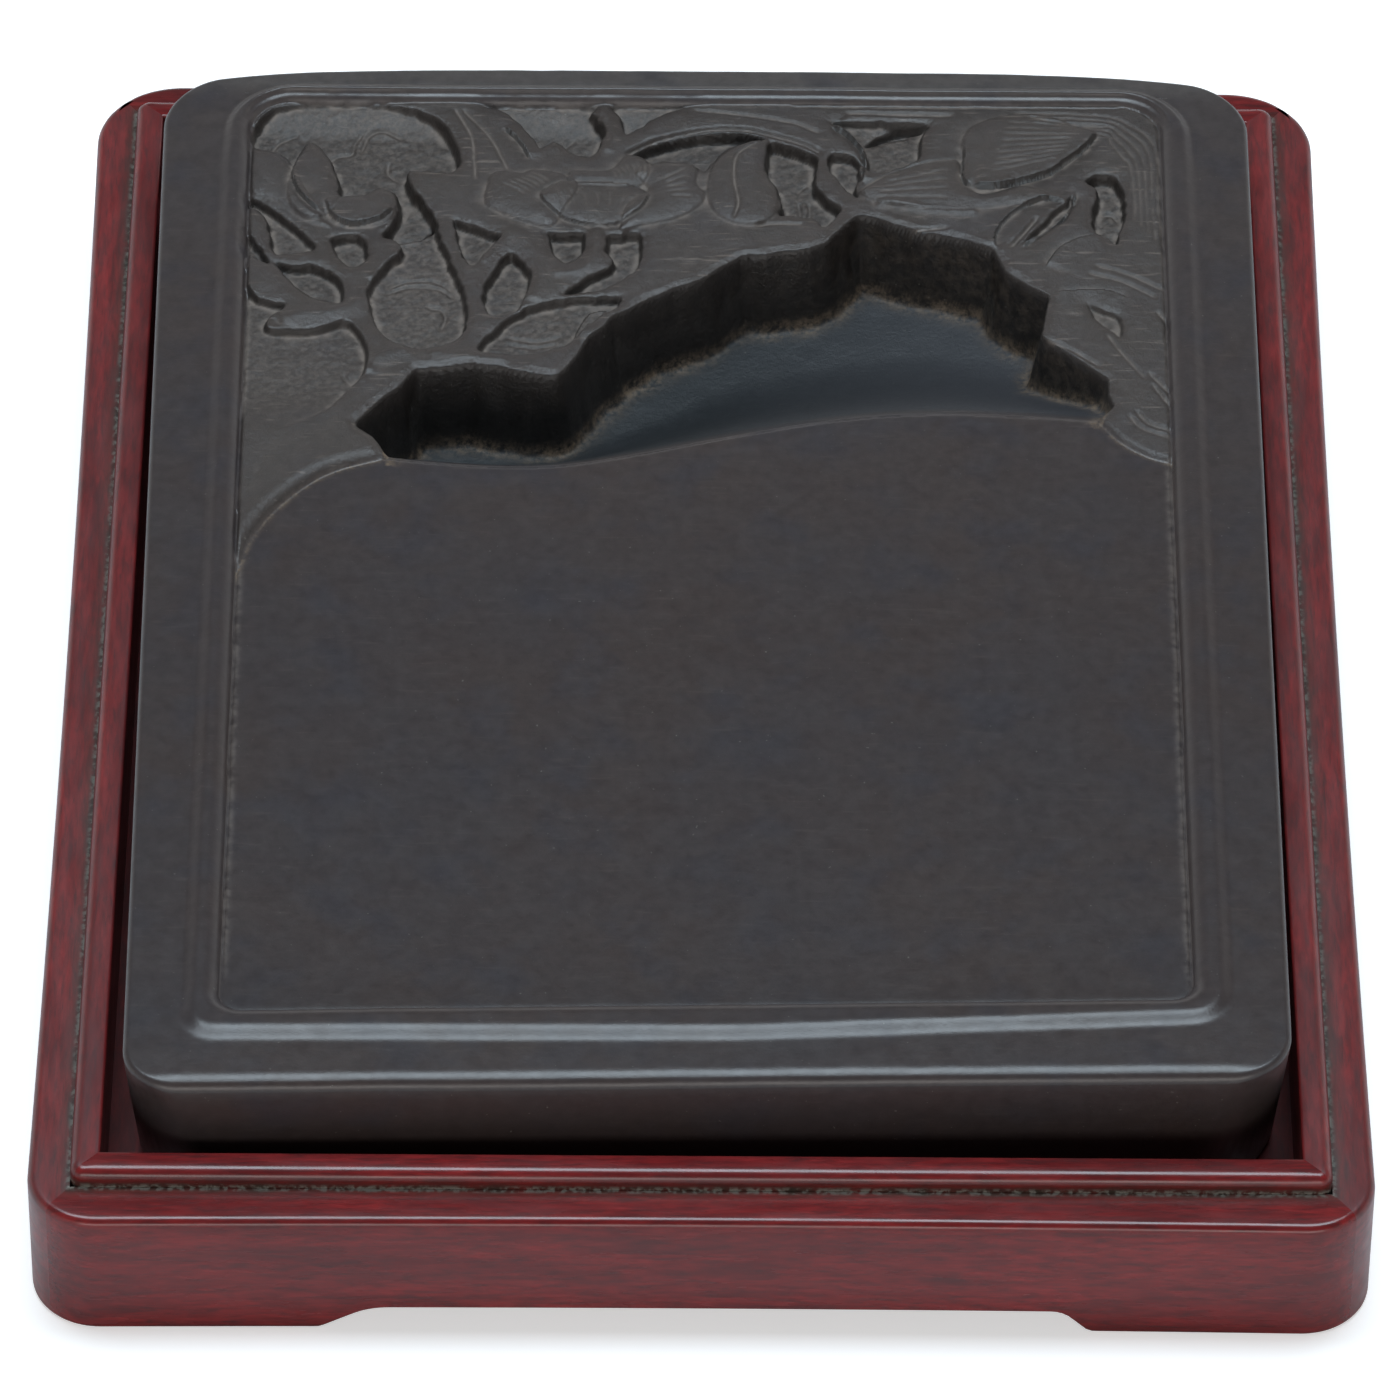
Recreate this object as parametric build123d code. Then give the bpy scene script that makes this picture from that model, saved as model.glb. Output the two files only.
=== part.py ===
"""A carved inkstone lying in its low rosewood tray, the base of a fitted box.

Millimetres. X runs left to right, Y from the front edge (the user's side) to the
carved far end, Z up. The origin is on the resting surface, at the centre of the tray.
"""
from build123d import *
import math
import os

# ---------------------------------------------------------------- tray, overall
TRAY_WIDTH = 176.4          # along X, measured at the corners
TRAY_DEPTH = 229.9          # along Y, measured at the corners
FRONT_CORNER_RADIUS = 9.5   # in plan
BACK_CORNER_RADIUS = 12.5
SIDE_HOLLOW = 0.7           # how far the long sides curve in at their middle
END_HOLLOW = 0.6            # the same for the ends
SHOULDER_HEIGHT = 20.2      # top of the rails, where the cover sits
SIDE_SHOULDER = 5.8         # width of the shoulder on the left and right rails, at the corners
END_SHOULDER = 6.55         # width of the shoulder on the front and back rails, at the corners
TOP_EDGE_RADIUS = 1.0
FOOT_EDGE_RADIUS = 0.8      # lower outer edge of the feet

# ---------------------------------------------------------------- lip strips
LIP_THICKNESS = 3.9
LIP_RISE = 2.7              # how far the lip stands above the shoulder
LIP_EDGE_RADIUS = 0.8

# ---------------------------------------------------------------- tray floor
FLOOR_HEIGHT = 8.5          # upper face of the bottom board
BOARD_THICKNESS = 4.0
TONGUE_THICKNESS = 2.0
GROOVE_DEPTH = 2.5
GROOVE_CORNER_RADIUS = 6.0
BOARD_GAP = 0.2             # room for the board to swell

# ---------------------------------------------------------------- feet
ARCH_HEIGHT = 3.9           # clear height between the feet
END_ARCH = (-50.0, -43.5, 47.5, 51.0)      # foot end, arch start, arch end, foot start, along X
SIDE_ARCH = (-74.0, -68.0, 68.0, 74.0)     # the same along Y
ARCH_RADIUS_START = 9.0     # long soft run-out at the first end of an arch
ARCH_RADIUS_END = 3.5
FOOT_TOE_RADIUS = 1.5

# ---------------------------------------------------------------- corner splines
SPLINE_WIDTH = 5.0          # across the mitre
SPLINE_THICKNESS = 1.5
SPLINE_BOTTOM = 9.0
SPLINE_TOP = 17.0

# ---------------------------------------------------------------- inkstone
STONE_TOP = 34.0            # crest of the bead
OUTER_BAND_HEIGHT = 33.1    # flat of the border, outside the bead
STONE_CORNERS = [(-75.9, -102.2), (77.2, -99.0), (77.9, 103.8), (-77.7, 103.8)]
STONE_CORNER_RADIUS = 13.0
STONE_TOP_RADIUS = 1.0
STONE_BOTTOM_RADIUS = 2.0
BEAD_CORNERS = [(-69.6, -93.8), (70.8, -92.0), (71.2, 99.2), (-71.0, 99.2)]
BEAD_CORNER_RADIUS = 10.0
BEAD_EDGE = 0.8             # bevel on the bead's outer side
FIELD_HEIGHT = 32.0         # grinding surface
FIELD_CORNERS = [(-63.2, -87.2), (64.5, -85.4), (65.4, 95.6), (-65.2, 95.6)]
FIELD_CORNER_RADIUS = 4.0
PANEL_HEIGHT = 31.0         # mean level of the carved panel
PANEL_OUTLINE = [(-65.0, -3.6), (-58.0, 11.4), (-46.0, 20.4), (-40.0, 29.4), (50.0, 35.4),
                 (57.0, 26.4), (65.2, 20.4), (65.4, 91.6), (61.4, 95.6), (-61.2, 95.6), (-65.2, 91.6)]

# The ink pool: its top edge, seen from above, then its floor as sections across the stone.
POOL_OUTLINE = [(-46.0, 15.4), (-46.0, 23.4), (-49.0, 27.4), (-42.5, 35.4), (-40.5, 39.4), (-33.0, 40.2),
                (-20.5, 37.9), (-17.0, 44.4), (-13.0, 50.4), (-6.5, 54.9), (-1.0, 58.4), (5.0, 63.4),
                (15.0, 65.4), (22.0, 72.4), (30.0, 69.4), (41.0, 65.4), (43.0, 60.9), (49.0, 55.4),
                (47.5, 46.9), (56.5, 37.9), (57.0, 32.4), (55.0, 28.4), (55.0, 15.4)]
# section X, lip Y, floor height, length of the slope from the lip down to the floor
POOL_SECTIONS = [(-50.0, 20.0, 18.6, 13.0), (-20.0, 19.4, 18.6, 17.0), (5.0, 25.9, 19.0, 26.0),
                 (33.0, 30.4, 19.4, 27.0), (60.0, 29.0, 21.5, 20.0)]
LIP_FALL = 0.35             # drop per millimetre where the slope leaves the lip
BEYOND = 5.0                # how far cutting shapes run past what they cut

# ---------------------------------------------------------------- worked out
LIP_OUTER_X = TRAY_WIDTH / 2 - SIDE_SHOULDER
LIP_OUTER_Y = TRAY_DEPTH / 2 - END_SHOULDER
LIP_INNER_X = LIP_OUTER_X - LIP_THICKNESS
LIP_INNER_Y = LIP_OUTER_Y - LIP_THICKNESS
LIP_TOP = SHOULDER_HEIGHT + LIP_RISE
TONGUE_BOTTOM = FLOOR_HEIGHT - BOARD_THICKNESS / 2 - TONGUE_THICKNESS / 2


def prism(face, bottom, top):
    """A plan face drawn at z = 0, made solid between two heights."""
    return extrude(Pos(0, 0, bottom) * face, top - bottom)


def rectangle_prism(half_x, half_y, bottom, top):
    return prism(Rectangle(2 * half_x, 2 * half_y), bottom, top)


def rounded_prism(half_x, half_y, radius, bottom, top):
    return prism(RectangleRounded(2 * half_x, 2 * half_y, radius), bottom, top)


def polygon_face(points):
    return make_face(Polyline(*points, close=True))


def rounded_polygon_prism(points, radius, bottom, top):
    face = polygon_face(points)
    return prism(fillet(face.vertices(), radius), bottom, top)


# ---------------------------------------------------------------- tray
def tray_outline():
    """The tray seen from above: four sides that curve in a little, with rounded corners."""
    half_x = TRAY_WIDTH / 2
    half_y = TRAY_DEPTH / 2
    corners = [(-half_x, -half_y), (half_x, -half_y), (half_x, half_y), (-half_x, half_y)]
    waist_x = half_x - SIDE_HOLLOW
    waist_y = half_y - END_HOLLOW
    middles = [(0, -waist_y), (waist_x, 0), (0, waist_y), (-waist_x, 0)]
    sides = [ThreePointArc(corners[i], middles[i], corners[(i + 1) % 4]) for i in range(4)]
    face = make_face(sides)
    face = fillet(face.vertices().sort_by(Axis.Y)[:2], FRONT_CORNER_RADIUS)
    return fillet(face.vertices().sort_by(Axis.Y)[-2:], BACK_CORNER_RADIUS)


def rail_ring():
    """All four rails as one ring, before it is cut at the mitres and under the arches."""
    ring = prism(tray_outline(), 0, SHOULDER_HEIGHT)
    ring = fillet(ring.faces().sort_by(Axis.Z)[-1].edges(), TOP_EDGE_RADIUS)
    ring = fillet(ring.faces().sort_by(Axis.Z)[0].edges(), FOOT_EDGE_RADIUS)
    ring -= rectangle_prism(LIP_OUTER_X, LIP_OUTER_Y, -BEYOND, SHOULDER_HEIGHT + BEYOND)
    groove = rounded_prism(LIP_OUTER_X + GROOVE_DEPTH, LIP_OUTER_Y + GROOVE_DEPTH, GROOVE_CORNER_RADIUS,
                           TONGUE_BOTTOM, TONGUE_BOTTOM + TONGUE_THICKNESS)
    return ring - groove


def arch_elevation(arch, half_length):
    """Elevation of a rail, drawn as (along the rail, height), with the arch between its two feet."""
    foot_end, arch_start, arch_end, foot_start = arch
    outline = polygon_face([
        (-half_length, 0), (foot_end, 0), (arch_start, ARCH_HEIGHT), (arch_end, ARCH_HEIGHT),
        (foot_start, 0), (half_length, 0), (half_length, SHOULDER_HEIGHT), (-half_length, SHOULDER_HEIGHT)])
    soft_corners = [(arch_start, ARCH_HEIGHT, ARCH_RADIUS_START), (arch_end, ARCH_HEIGHT, ARCH_RADIUS_END),
                    (foot_end, 0, FOOT_TOE_RADIUS), (foot_start, 0, FOOT_TOE_RADIUS)]
    for along, height, radius in soft_corners:
        corner = outline.vertices().sort_by_distance(Vector(along, height, 0))[0]
        outline = fillet(corner, radius)
    return outline


def mitre_wedges(inner_x, inner_y, wall_x, wall_y):
    """Plan shapes of the four mitred pieces of a ring: the mitre runs from its inner to its outer corner."""
    outer_x = inner_x + 2 * wall_x
    outer_y = inner_y + 2 * wall_y
    front = [(-inner_x, -inner_y), (inner_x, -inner_y), (outer_x, -outer_y), (-outer_x, -outer_y)]
    right = [(inner_x, -inner_y), (inner_x, inner_y), (outer_x, outer_y), (outer_x, -outer_y)]
    back = [(-x, -y) for x, y in front]
    left = [(-x, -y) for x, y in right]
    return {"front": front, "right": right, "back": back, "left": left}


def rails():
    ring = rail_ring()
    half = TRAY_DEPTH / 2 + BEYOND
    end_shape = extrude(Plane.XZ * arch_elevation(END_ARCH, half), half, both=True)
    side_shape = extrude(Plane.YZ * arch_elevation(SIDE_ARCH, half), half, both=True)
    pieces = {}
    for side, outline in mitre_wedges(LIP_OUTER_X, LIP_OUTER_Y, SIDE_SHOULDER, END_SHOULDER).items():
        shape = end_shape if side in ("front", "back") else side_shape
        wedge = prism(polygon_face(outline), -BEYOND, SHOULDER_HEIGHT + BEYOND)
        pieces[side + "_rail"] = ring & wedge & shape
    return pieces


def lip_strips():
    """Thin strips glued inside the rails, standing proud of the shoulder to locate the cover."""
    ring = rectangle_prism(LIP_OUTER_X, LIP_OUTER_Y, FLOOR_HEIGHT, LIP_TOP)
    ring = fillet(ring.faces().sort_by(Axis.Z)[-1].edges(), LIP_EDGE_RADIUS)
    ring -= rectangle_prism(LIP_INNER_X, LIP_INNER_Y, FLOOR_HEIGHT - BEYOND, LIP_TOP + BEYOND)
    pieces = {}
    for side, outline in mitre_wedges(LIP_INNER_X, LIP_INNER_Y, LIP_THICKNESS, LIP_THICKNESS).items():
        pieces[side + "_lip"] = ring & prism(polygon_face(outline), FLOOR_HEIGHT, LIP_TOP)
    return pieces


def bottom_board():
    """The floor panel: a board with a tongue all round, loose in the rails' groove."""
    board = rectangle_prism(LIP_OUTER_X - BOARD_GAP, LIP_OUTER_Y - BOARD_GAP,
                            FLOOR_HEIGHT - BOARD_THICKNESS, FLOOR_HEIGHT)
    reach = GROOVE_DEPTH - BOARD_GAP
    tongue = rounded_prism(LIP_OUTER_X + reach, LIP_OUTER_Y + reach, GROOVE_CORNER_RADIUS - BOARD_GAP,
                           TONGUE_BOTTOM, TONGUE_BOTTOM + TONGUE_THICKNESS)
    return board + tongue


def corner_spline(sign_x, sign_y):
    """A slip of wood standing upright across one mitre, midway between its inner and outer edges."""
    radius = BACK_CORNER_RADIUS if sign_y > 0 else FRONT_CORNER_RADIUS
    corner_x = TRAY_WIDTH / 2 - radius
    corner_y = TRAY_DEPTH / 2 - radius
    reach = radius * math.sqrt(0.5)
    middle_x = (LIP_OUTER_X + corner_x + reach) / 2
    middle_y = (LIP_OUTER_Y + corner_y + reach) / 2
    turn = -45 * sign_x * sign_y
    place = Pos(sign_x * middle_x, sign_y * middle_y, (SPLINE_BOTTOM + SPLINE_TOP) / 2)
    return place * Rot(0, 0, turn) * Box(SPLINE_WIDTH, SPLINE_THICKNESS, SPLINE_TOP - SPLINE_BOTTOM)


# ---------------------------------------------------------------- inkstone
def pool_section(x, lip_y, floor, run):
    """The pool's space across the stone at one X: sloping floor, level floor, then open to the sky."""
    far_y = STONE_CORNERS[2][1]
    top = STONE_TOP + BEYOND
    slope = Spline((x, lip_y, FIELD_HEIGHT), (x, lip_y + run, floor),
                   tangents=[(0, 1, -LIP_FALL), (0, 1, 0)])
    rest = Polyline((x, lip_y + run, floor), (x, far_y, floor), (x, far_y, top), (x, lip_y, top),
                    (x, lip_y, FIELD_HEIGHT))
    return make_face([slope, *rest.edges()])


def ink_pool():
    sections = [pool_section(*section) for section in POOL_SECTIONS]
    return loft(sections) & prism(polygon_face(POOL_OUTLINE), 0, STONE_TOP + BEYOND)


def inkstone():
    stone = rounded_polygon_prism(STONE_CORNERS, STONE_CORNER_RADIUS, FLOOR_HEIGHT, OUTER_BAND_HEIGHT)
    stone = fillet(stone.faces().sort_by(Axis.Z)[-1].edges(), STONE_TOP_RADIUS)
    stone = fillet(stone.faces().sort_by(Axis.Z)[0].edges(), STONE_BOTTOM_RADIUS)
    bead_root = OUTER_BAND_HEIGHT - STONE_TOP_RADIUS
    bead = rounded_polygon_prism(BEAD_CORNERS, BEAD_CORNER_RADIUS, bead_root, STONE_TOP)
    stone += chamfer(bead.faces().sort_by(Axis.Z)[-1].edges(), BEAD_EDGE)
    sky = STONE_TOP + BEYOND
    stone -= rounded_polygon_prism(FIELD_CORNERS, FIELD_CORNER_RADIUS, FIELD_HEIGHT, sky)
    stone -= prism(polygon_face(PANEL_OUTLINE), PANEL_HEIGHT, sky)
    return stone - ink_pool()


# ---------------------------------------------------------------- assembly
def build():
    parts = {}
    parts.update(rails())
    parts.update(lip_strips())
    parts["bottom_board"] = bottom_board()
    for end, sign_y in (("front", -1), ("back", 1)):
        for side, sign_x in (("left", -1), ("right", 1)):
            slip = corner_spline(sign_x, sign_y)
            parts[f"{end}_{side}_spline"] = slip
            parts[end + "_rail"] -= slip
            parts[side + "_rail"] -= slip
    parts["inkstone"] = inkstone()
    return parts


os.makedirs("parts", exist_ok=True)
for name, solid in build().items():
    export_step(solid, f"parts/{name}.step")
    box = solid.bounding_box()
    print(f"{name:22s} volume {solid.volume / 1000:8.2f} cm3   size {box.size}")
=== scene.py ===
"""The looks of a carved inkstone in its rosewood tray.

Shapes are written in millimetres in the model's frame: X to the right, Y towards the
carved far end, Z up from the surface the tray stands on.
"""
import math

import bpy
import numpy as np
from mathutils import Matrix, Vector


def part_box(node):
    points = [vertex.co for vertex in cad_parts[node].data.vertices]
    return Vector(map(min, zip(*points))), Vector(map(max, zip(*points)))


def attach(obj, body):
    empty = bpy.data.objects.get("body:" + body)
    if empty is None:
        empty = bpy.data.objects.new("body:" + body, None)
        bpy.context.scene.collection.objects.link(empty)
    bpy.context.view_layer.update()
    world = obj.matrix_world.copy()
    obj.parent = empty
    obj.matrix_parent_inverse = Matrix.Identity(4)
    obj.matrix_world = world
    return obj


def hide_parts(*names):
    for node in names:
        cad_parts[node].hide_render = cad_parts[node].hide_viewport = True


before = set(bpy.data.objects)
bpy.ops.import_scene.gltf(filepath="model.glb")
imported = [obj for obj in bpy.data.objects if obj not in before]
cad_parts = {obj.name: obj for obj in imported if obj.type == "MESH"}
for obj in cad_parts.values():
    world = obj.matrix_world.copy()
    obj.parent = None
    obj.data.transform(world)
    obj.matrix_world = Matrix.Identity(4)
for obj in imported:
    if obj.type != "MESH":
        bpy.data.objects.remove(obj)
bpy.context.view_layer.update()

MM = 0.001
SEED = 7


# ================================================================ drawing in plan
def curve(points, closed=False, spacing=0.6):
    """A smooth line through given points, sampled every spacing millimetres."""
    p = np.array(points, float)
    before = np.roll(p, 1, 0) if closed else np.vstack([2 * p[0] - p[1], p[:-1]])
    after = np.roll(p, -1, 0) if closed else np.vstack([p[1:], 2 * p[-1] - p[-2]])
    tangents = (after - before) / 2
    line = []
    for i in range(len(p) if closed else len(p) - 1):
        j = (i + 1) % len(p)
        steps = max(2, int(np.hypot(*(p[j] - p[i])) / spacing))
        t = np.linspace(0, 1, steps, endpoint=False)[:, None]
        line.append((2 * t**3 - 3 * t**2 + 1) * p[i] + (t**3 - 2 * t**2 + t) * tangents[i]
                    + (3 * t**2 - 2 * t**3) * p[j] + (t**3 - t**2) * tangents[j])
    line.append(p[:1] if closed else p[-1:])
    return np.vstack(line)


def rounded(points, radii, closed=True, steps=10):
    """Straight runs between points, with an arc of the given radius at each corner."""
    p = np.array(points, float)
    line = []
    for i, radius in enumerate(radii):
        to_last = p[i - 1] - p[i]
        to_next = p[(i + 1) % len(p)] - p[i]
        if radius == 0 or (not closed and i in (0, len(p) - 1)):
            line.append(p[i:i + 1])
            continue
        to_last = to_last / np.hypot(*to_last)
        to_next = to_next / np.hypot(*to_next)
        half = math.acos(np.clip(to_last @ to_next, -1, 1)) / 2
        middle = to_last + to_next
        centre = p[i] + middle / np.hypot(*middle) * radius / math.sin(half)
        start = p[i] + to_last * radius / math.tan(half) - centre
        end = p[i] + to_next * radius / math.tan(half) - centre
        turn = math.atan2(start[0] * end[1] - start[1] * end[0], start @ end)
        angles = np.linspace(0, turn, steps + 1)[:, None]
        across = np.array([-start[1], start[0]])
        line.append(centre + np.cos(angles) * start + np.sin(angles) * across)
    if closed:
        line.append(line[0][:1])
    return np.vstack(line)


def inset_corners(corners, inset):
    """The corners of a counter-clockwise outline after each side has moved inwards."""
    p = np.array(corners, float)
    moved = []
    for i in range(len(p)):
        a = p[i] - p[i - 1]
        b = p[(i + 1) % len(p)] - p[i]
        a = a / np.hypot(*a)
        b = b / np.hypot(*b)
        normal_a = np.array([-a[1], a[0]])
        normal_b = np.array([-b[1], b[0]])
        moved.append(p[i] + inset * (normal_a + normal_b) / (1 + normal_a @ normal_b))
    return np.array(moved)


def nearest(line, x, y):
    """For each place: distance to a line, how far along it, and the side (positive on its left)."""
    best = np.full(x.shape, 1e9)
    along = np.zeros(x.shape)
    side = np.zeros(x.shape)
    passed = 0.0
    for (ax, ay), (bx, by) in zip(line[:-1], line[1:]):
        dx, dy = bx - ax, by - ay
        length = math.hypot(dx, dy)
        if length < 1e-9:
            continue
        t = np.clip(((x - ax) * dx + (y - ay) * dy) / length**2, 0, 1)
        ex, ey = x - ax - t * dx, y - ay - t * dy
        square = ex * ex + ey * ey
        closer = square < best
        best = np.where(closer, square, best)
        along = np.where(closer, passed + t * length, along)
        side = np.where(closer, dx * ey - dy * ex, side)
        passed += length
    return np.sqrt(best), along, side


def signed(line, x, y):
    """Distance to a closed line, negative inside it."""
    distance = nearest(line, x, y)[0]
    inside = np.zeros(x.shape, bool)
    for (ax, ay), (bx, by) in zip(line[:-1], line[1:]):
        if ay != by:
            crosses = (ay > y) != (by > y)
            inside ^= crosses & (x < ax + (y - ay) * (bx - ax) / (by - ay))
    return np.where(inside, -distance, distance)


def ease(t):
    """0 to 1 with soft ends."""
    t = np.clip(t, 0, 1)
    return t * t * (3 - 2 * t)


def blend(value, start, end, low=0.0, high=1.0):
    """low where value is at start or before it, high from end on, with soft ends."""
    return low + (high - low) * ease((value - start) / (end - start))


LUMP_TABLE = 64             # the random heights repeat after this many lumps


def lumps(x, y, size, seed):
    """Smooth random heights from -1 to 1, with lumps about size millimetres across."""
    table = np.random.default_rng(SEED + seed).uniform(-1, 1, (LUMP_TABLE, LUMP_TABLE))
    u, v = x / size, y / size
    i, j = np.floor(u).astype(int), np.floor(v).astype(int)
    fu, fv = ease(u - i), ease(v - j)

    def corner(right, up):
        return table[(i + right) % LUMP_TABLE, (j + up) % LUMP_TABLE]

    near = corner(0, 0) * (1 - fu) + corner(1, 0) * fu
    far = corner(0, 1) * (1 - fu) + corner(1, 1) * fu
    return near * (1 - fv) + far * fv


def waves(x, y, layers):
    """Several sizes of lumps together, from rows of (height, size, seed)."""
    return sum(height * lumps(x, y, size, seed) for height, size, seed in layers)


def blurred(heights, cells):
    """A height map with everything finer than a few cells smoothed away."""
    weights = np.exp(-0.5 * (np.arange(-2 * cells, 2 * cells + 1) / cells)**2)
    weights /= weights.sum()
    for axis in (0, 1):
        padding = [(0, 0), (0, 0)]
        padding[axis] = (2 * cells, 2 * cells)
        padded = np.pad(heights, padding, mode="edge")
        count = heights.shape[axis]
        heights = sum(w * np.take(padded, range(k, k + count), axis) for k, w in enumerate(weights))
    return heights


# ================================================================ meshes
def add_object(name, data):
    made = bpy.data.objects.new(name, data)
    bpy.context.scene.collection.objects.link(made)
    return made


def mesh_object(name, points, quads, caps=()):
    """A smooth-shaded mesh from points in mm, quads, and any larger faces that close its ends."""
    corners = [quads.ravel(), *[np.array(cap) for cap in caps]]
    starts = list(range(0, quads.size, 4))
    total = quads.size
    for cap in caps:
        starts.append(total)
        total += len(cap)
    mesh = bpy.data.meshes.new(name)
    mesh.vertices.add(len(points))
    mesh.vertices.foreach_set("co", (points * MM).astype(np.float32).ravel())
    mesh.loops.add(total)
    mesh.loops.foreach_set("vertex_index", np.concatenate(corners).astype(np.int32))
    mesh.polygons.add(len(starts))
    mesh.polygons.foreach_set("loop_start", np.array(starts, np.int32))
    mesh.update(calc_edges=True)
    mesh.shade_smooth()
    return add_object(name, mesh)


def set_attribute(obj, name, values):
    """One number for each vertex, which the material reads by name."""
    layer = obj.data.attributes.new(name, "FLOAT", "POINT")
    layer.data.foreach_set("value", np.asarray(values, np.float32).ravel())


def ring_quads(first, second):
    """Quads between two rings of vertex numbers, closed round."""
    return np.stack([first, np.roll(first, -1), np.roll(second, -1), second], 1)


def lofted(name, sections, sharp_degrees=38):
    """A skin over a row of closed sections, capped at both ends."""
    stations, count, _ = sections.shape
    numbers = np.arange(stations * count).reshape(stations, count)
    quads = np.concatenate([ring_quads(numbers[i + 1], numbers[i]) for i in range(stations - 1)])
    made = mesh_object(name, sections.reshape(-1, 3), quads, [numbers[-1][::-1], numbers[0]])
    made.data.set_sharp_from_angle(angle=math.radians(sharp_degrees))
    return made


# ================================================================ the inkstone's sizes
STONE_PLACE = (0.0, -0.6, 0.0)      # where the stone's own drawing lies in the tray
STONE_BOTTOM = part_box("inkstone")[0].z / MM
STONE_CORNERS = [(-75.6, -101.7), (77.1, -98.5), (77.9, 100.3), (-77.7, 100.3)]
STONE_RADII = [7.0, 8.0, 8.5, 8.5]
BACK_CROWN = 4.1            # how far the middle of the far side stands out past its corners
CROWN_CURVE = 5             # higher is flatter in the middle
WALL_TAPER = 1.0            # how far the walls lean in towards the bottom
WALL_EXTRA_RADIUS = 8.0     # the upright corners get rounder downwards
ARRIS_RADIUS = 0.9
BOTTOM_ROUNDING = 2.0
NEAR_EDGE = STONE_CORNERS[:2]
NEAR_BEVEL_WIDTH = 2.2      # worn slope along the near edge
NEAR_BEVEL_FALL = 0.75
NEAR_BEVEL_CURVE = 1.7
NEAR_BEVEL_ENDS = (77, 68)  # distance from the middle: where it is nothing, and where it is whole
BAND_HEIGHT = 33.1          # the border's outer flat
BAND_FALL = 0.02            # its slope outwards
BEAD_CREST = 33.9
BEAD_CORNERS = [(-66.2, -90.9), (5.0, -90.5), (67.8, -87.0), (68.2, 98.9), (-67.4, 98.9)]
BEAD_RADII = [2.5, 200.0, 4.0, 9.0, 9.0]
BEAD_SLOPES = ([-92, -84, 82, 94], [2.9, 2.2, 2.2, 1.6])     # Y, width of the outer slope there
BEAD_INNER_RISE = 2.6       # width of its rounded inner side
BEAD_INNER_HEIGHT = 1.5
GROOVE_DEPTH = 0.06         # fine line at the foot of the outer slope
GROOVE_WIDTH = 0.25
GROOVE_STARTS = (-86, -78)  # Y
BACK_STARTS = (91, 95)      # Y, where the far side's section takes over
BACK_BEVEL_WIDTH = 1.0      # there it is a small steep wall under the crest, then a bevel
BACK_BEVEL_FALL = 0.38
BACK_WALL_FALL = 0.65
BACK_WALL_WIDTH = 0.5
FIELD_CORNERS = [(-63.4, -87.3), (64.5, -84.2), (65.2, 97.3), (-65.0, 97.3)]
FIELD_RADII = [3.0, 3.0, 6.0, 6.0]
FIELD_HEIGHT = 31.9         # grinding surface
DISH_DEPTH = 0.15           # worn hollow in the middle of it
DISH_MIDDLE_Y = -32
DISH_HALF = (64, 54)
CREVICE_WIDTH = ([-82, -76], [0.6, 0.28])   # Y, half width
CREVICE_DEPTH = (-82, -76, 0.105, 0.35)     # from Y, to Y, depths there
PANEL_HEIGHT = 32.5         # the carving's upper plane
PANEL_RISE = ([-50, 40], [2.4, 1.3])        # X, width of the slope up from the field
SHOULDER_SWELL = 1.0        # the left shoulder stands higher than the rest of the panel
SWELL_REACH = 6.0
SWELL_STARTS = (-35, -55)   # X
PANEL_SKIN_STARTS = (-0.3, 0.7)     # the panel's colouring, from and to this far past its shoulder
PANEL_SKIN_MARGIN = 0.4     # it also fades in over this width from the crevice
FOOT_DUST_WIDTH = 0.5       # dust along the foot of the panel's slope

# Unevenness left by hand work, here and further on, is in rows of (height, size, seed).
BORDER_WAVES = [(0.07, 14.0, 1), (0.03, 4.0, 2)]
FIELD_WAVES = [(0.03, 20.0, 3)]
PANEL_WAVES = [(0.05, 2.6, 10), (0.03, 1.2, 14)]
PANEL_WAVES_START = (20, 30)        # Y
POLISH_MARKS = [(0.012, 1.4, 4)]    # long fine lines, drawn out along Y
POLISH_STRETCH = 0.2

# Where the panel meets the field: left shoulder, under the pool, right shoulder, round the far end.
LEFT_SHOULDER = [
    (-66.5, -9.0), (-64.3, -3.0), (-62.0, 5.0), (-58.0, 12.0), (-52.0, 18.0), (-44.0, 21.4)]
UNDER_POOL = [(-42, 26), (53, 34)]
RIGHT_SHOULDER = [(55.2, 29.4), (58.0, 25.4), (62.0, 22.3), (66.5, 20.8)]
PAST_FAR_END = [(75, 110), (-75, 110)]

FIELD_LINE = rounded(FIELD_CORNERS, FIELD_RADII)
BEAD_LINE = rounded(BEAD_CORNERS, BEAD_RADII)

# ---------------------------------------------------------------- ink pool
LIP = [(-50.0, 22.0), (-44.0, 21.2), (-30.0, 19.7), (-20.0, 20.0), (-10.0, 22.2), (5.0, 26.5), (20.0, 30.0),
       (35.0, 31.2), (55.0, 29.8), (60.0, 28.0)]
POOL_WALL = [
    (-44.2, 21.4), (-46.0, 25.0), (-49.0, 28.0), (-42.5, 36.0), (-40.5, 40.0), (-33.0, 40.8), (-20.5, 38.5),
    (-17.0, 45.0), (-13.0, 51.0), (-6.5, 55.5), (-1.0, 59.0), (5.0, 64.0), (15.0, 66.0), (17.5, 67.6),
    (22.0, 73.0), (30.0, 70.5), (35.0, 68.6), (41.0, 66.0), (43.0, 61.5), (49.0, 56.0), (47.5, 47.5),
    (56.5, 38.5), (57.0, 33.0), (55.3, 29.4)]
BEFORE_POOL_Y = 5           # the wall's outline is closed through here, well before the lip
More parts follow.
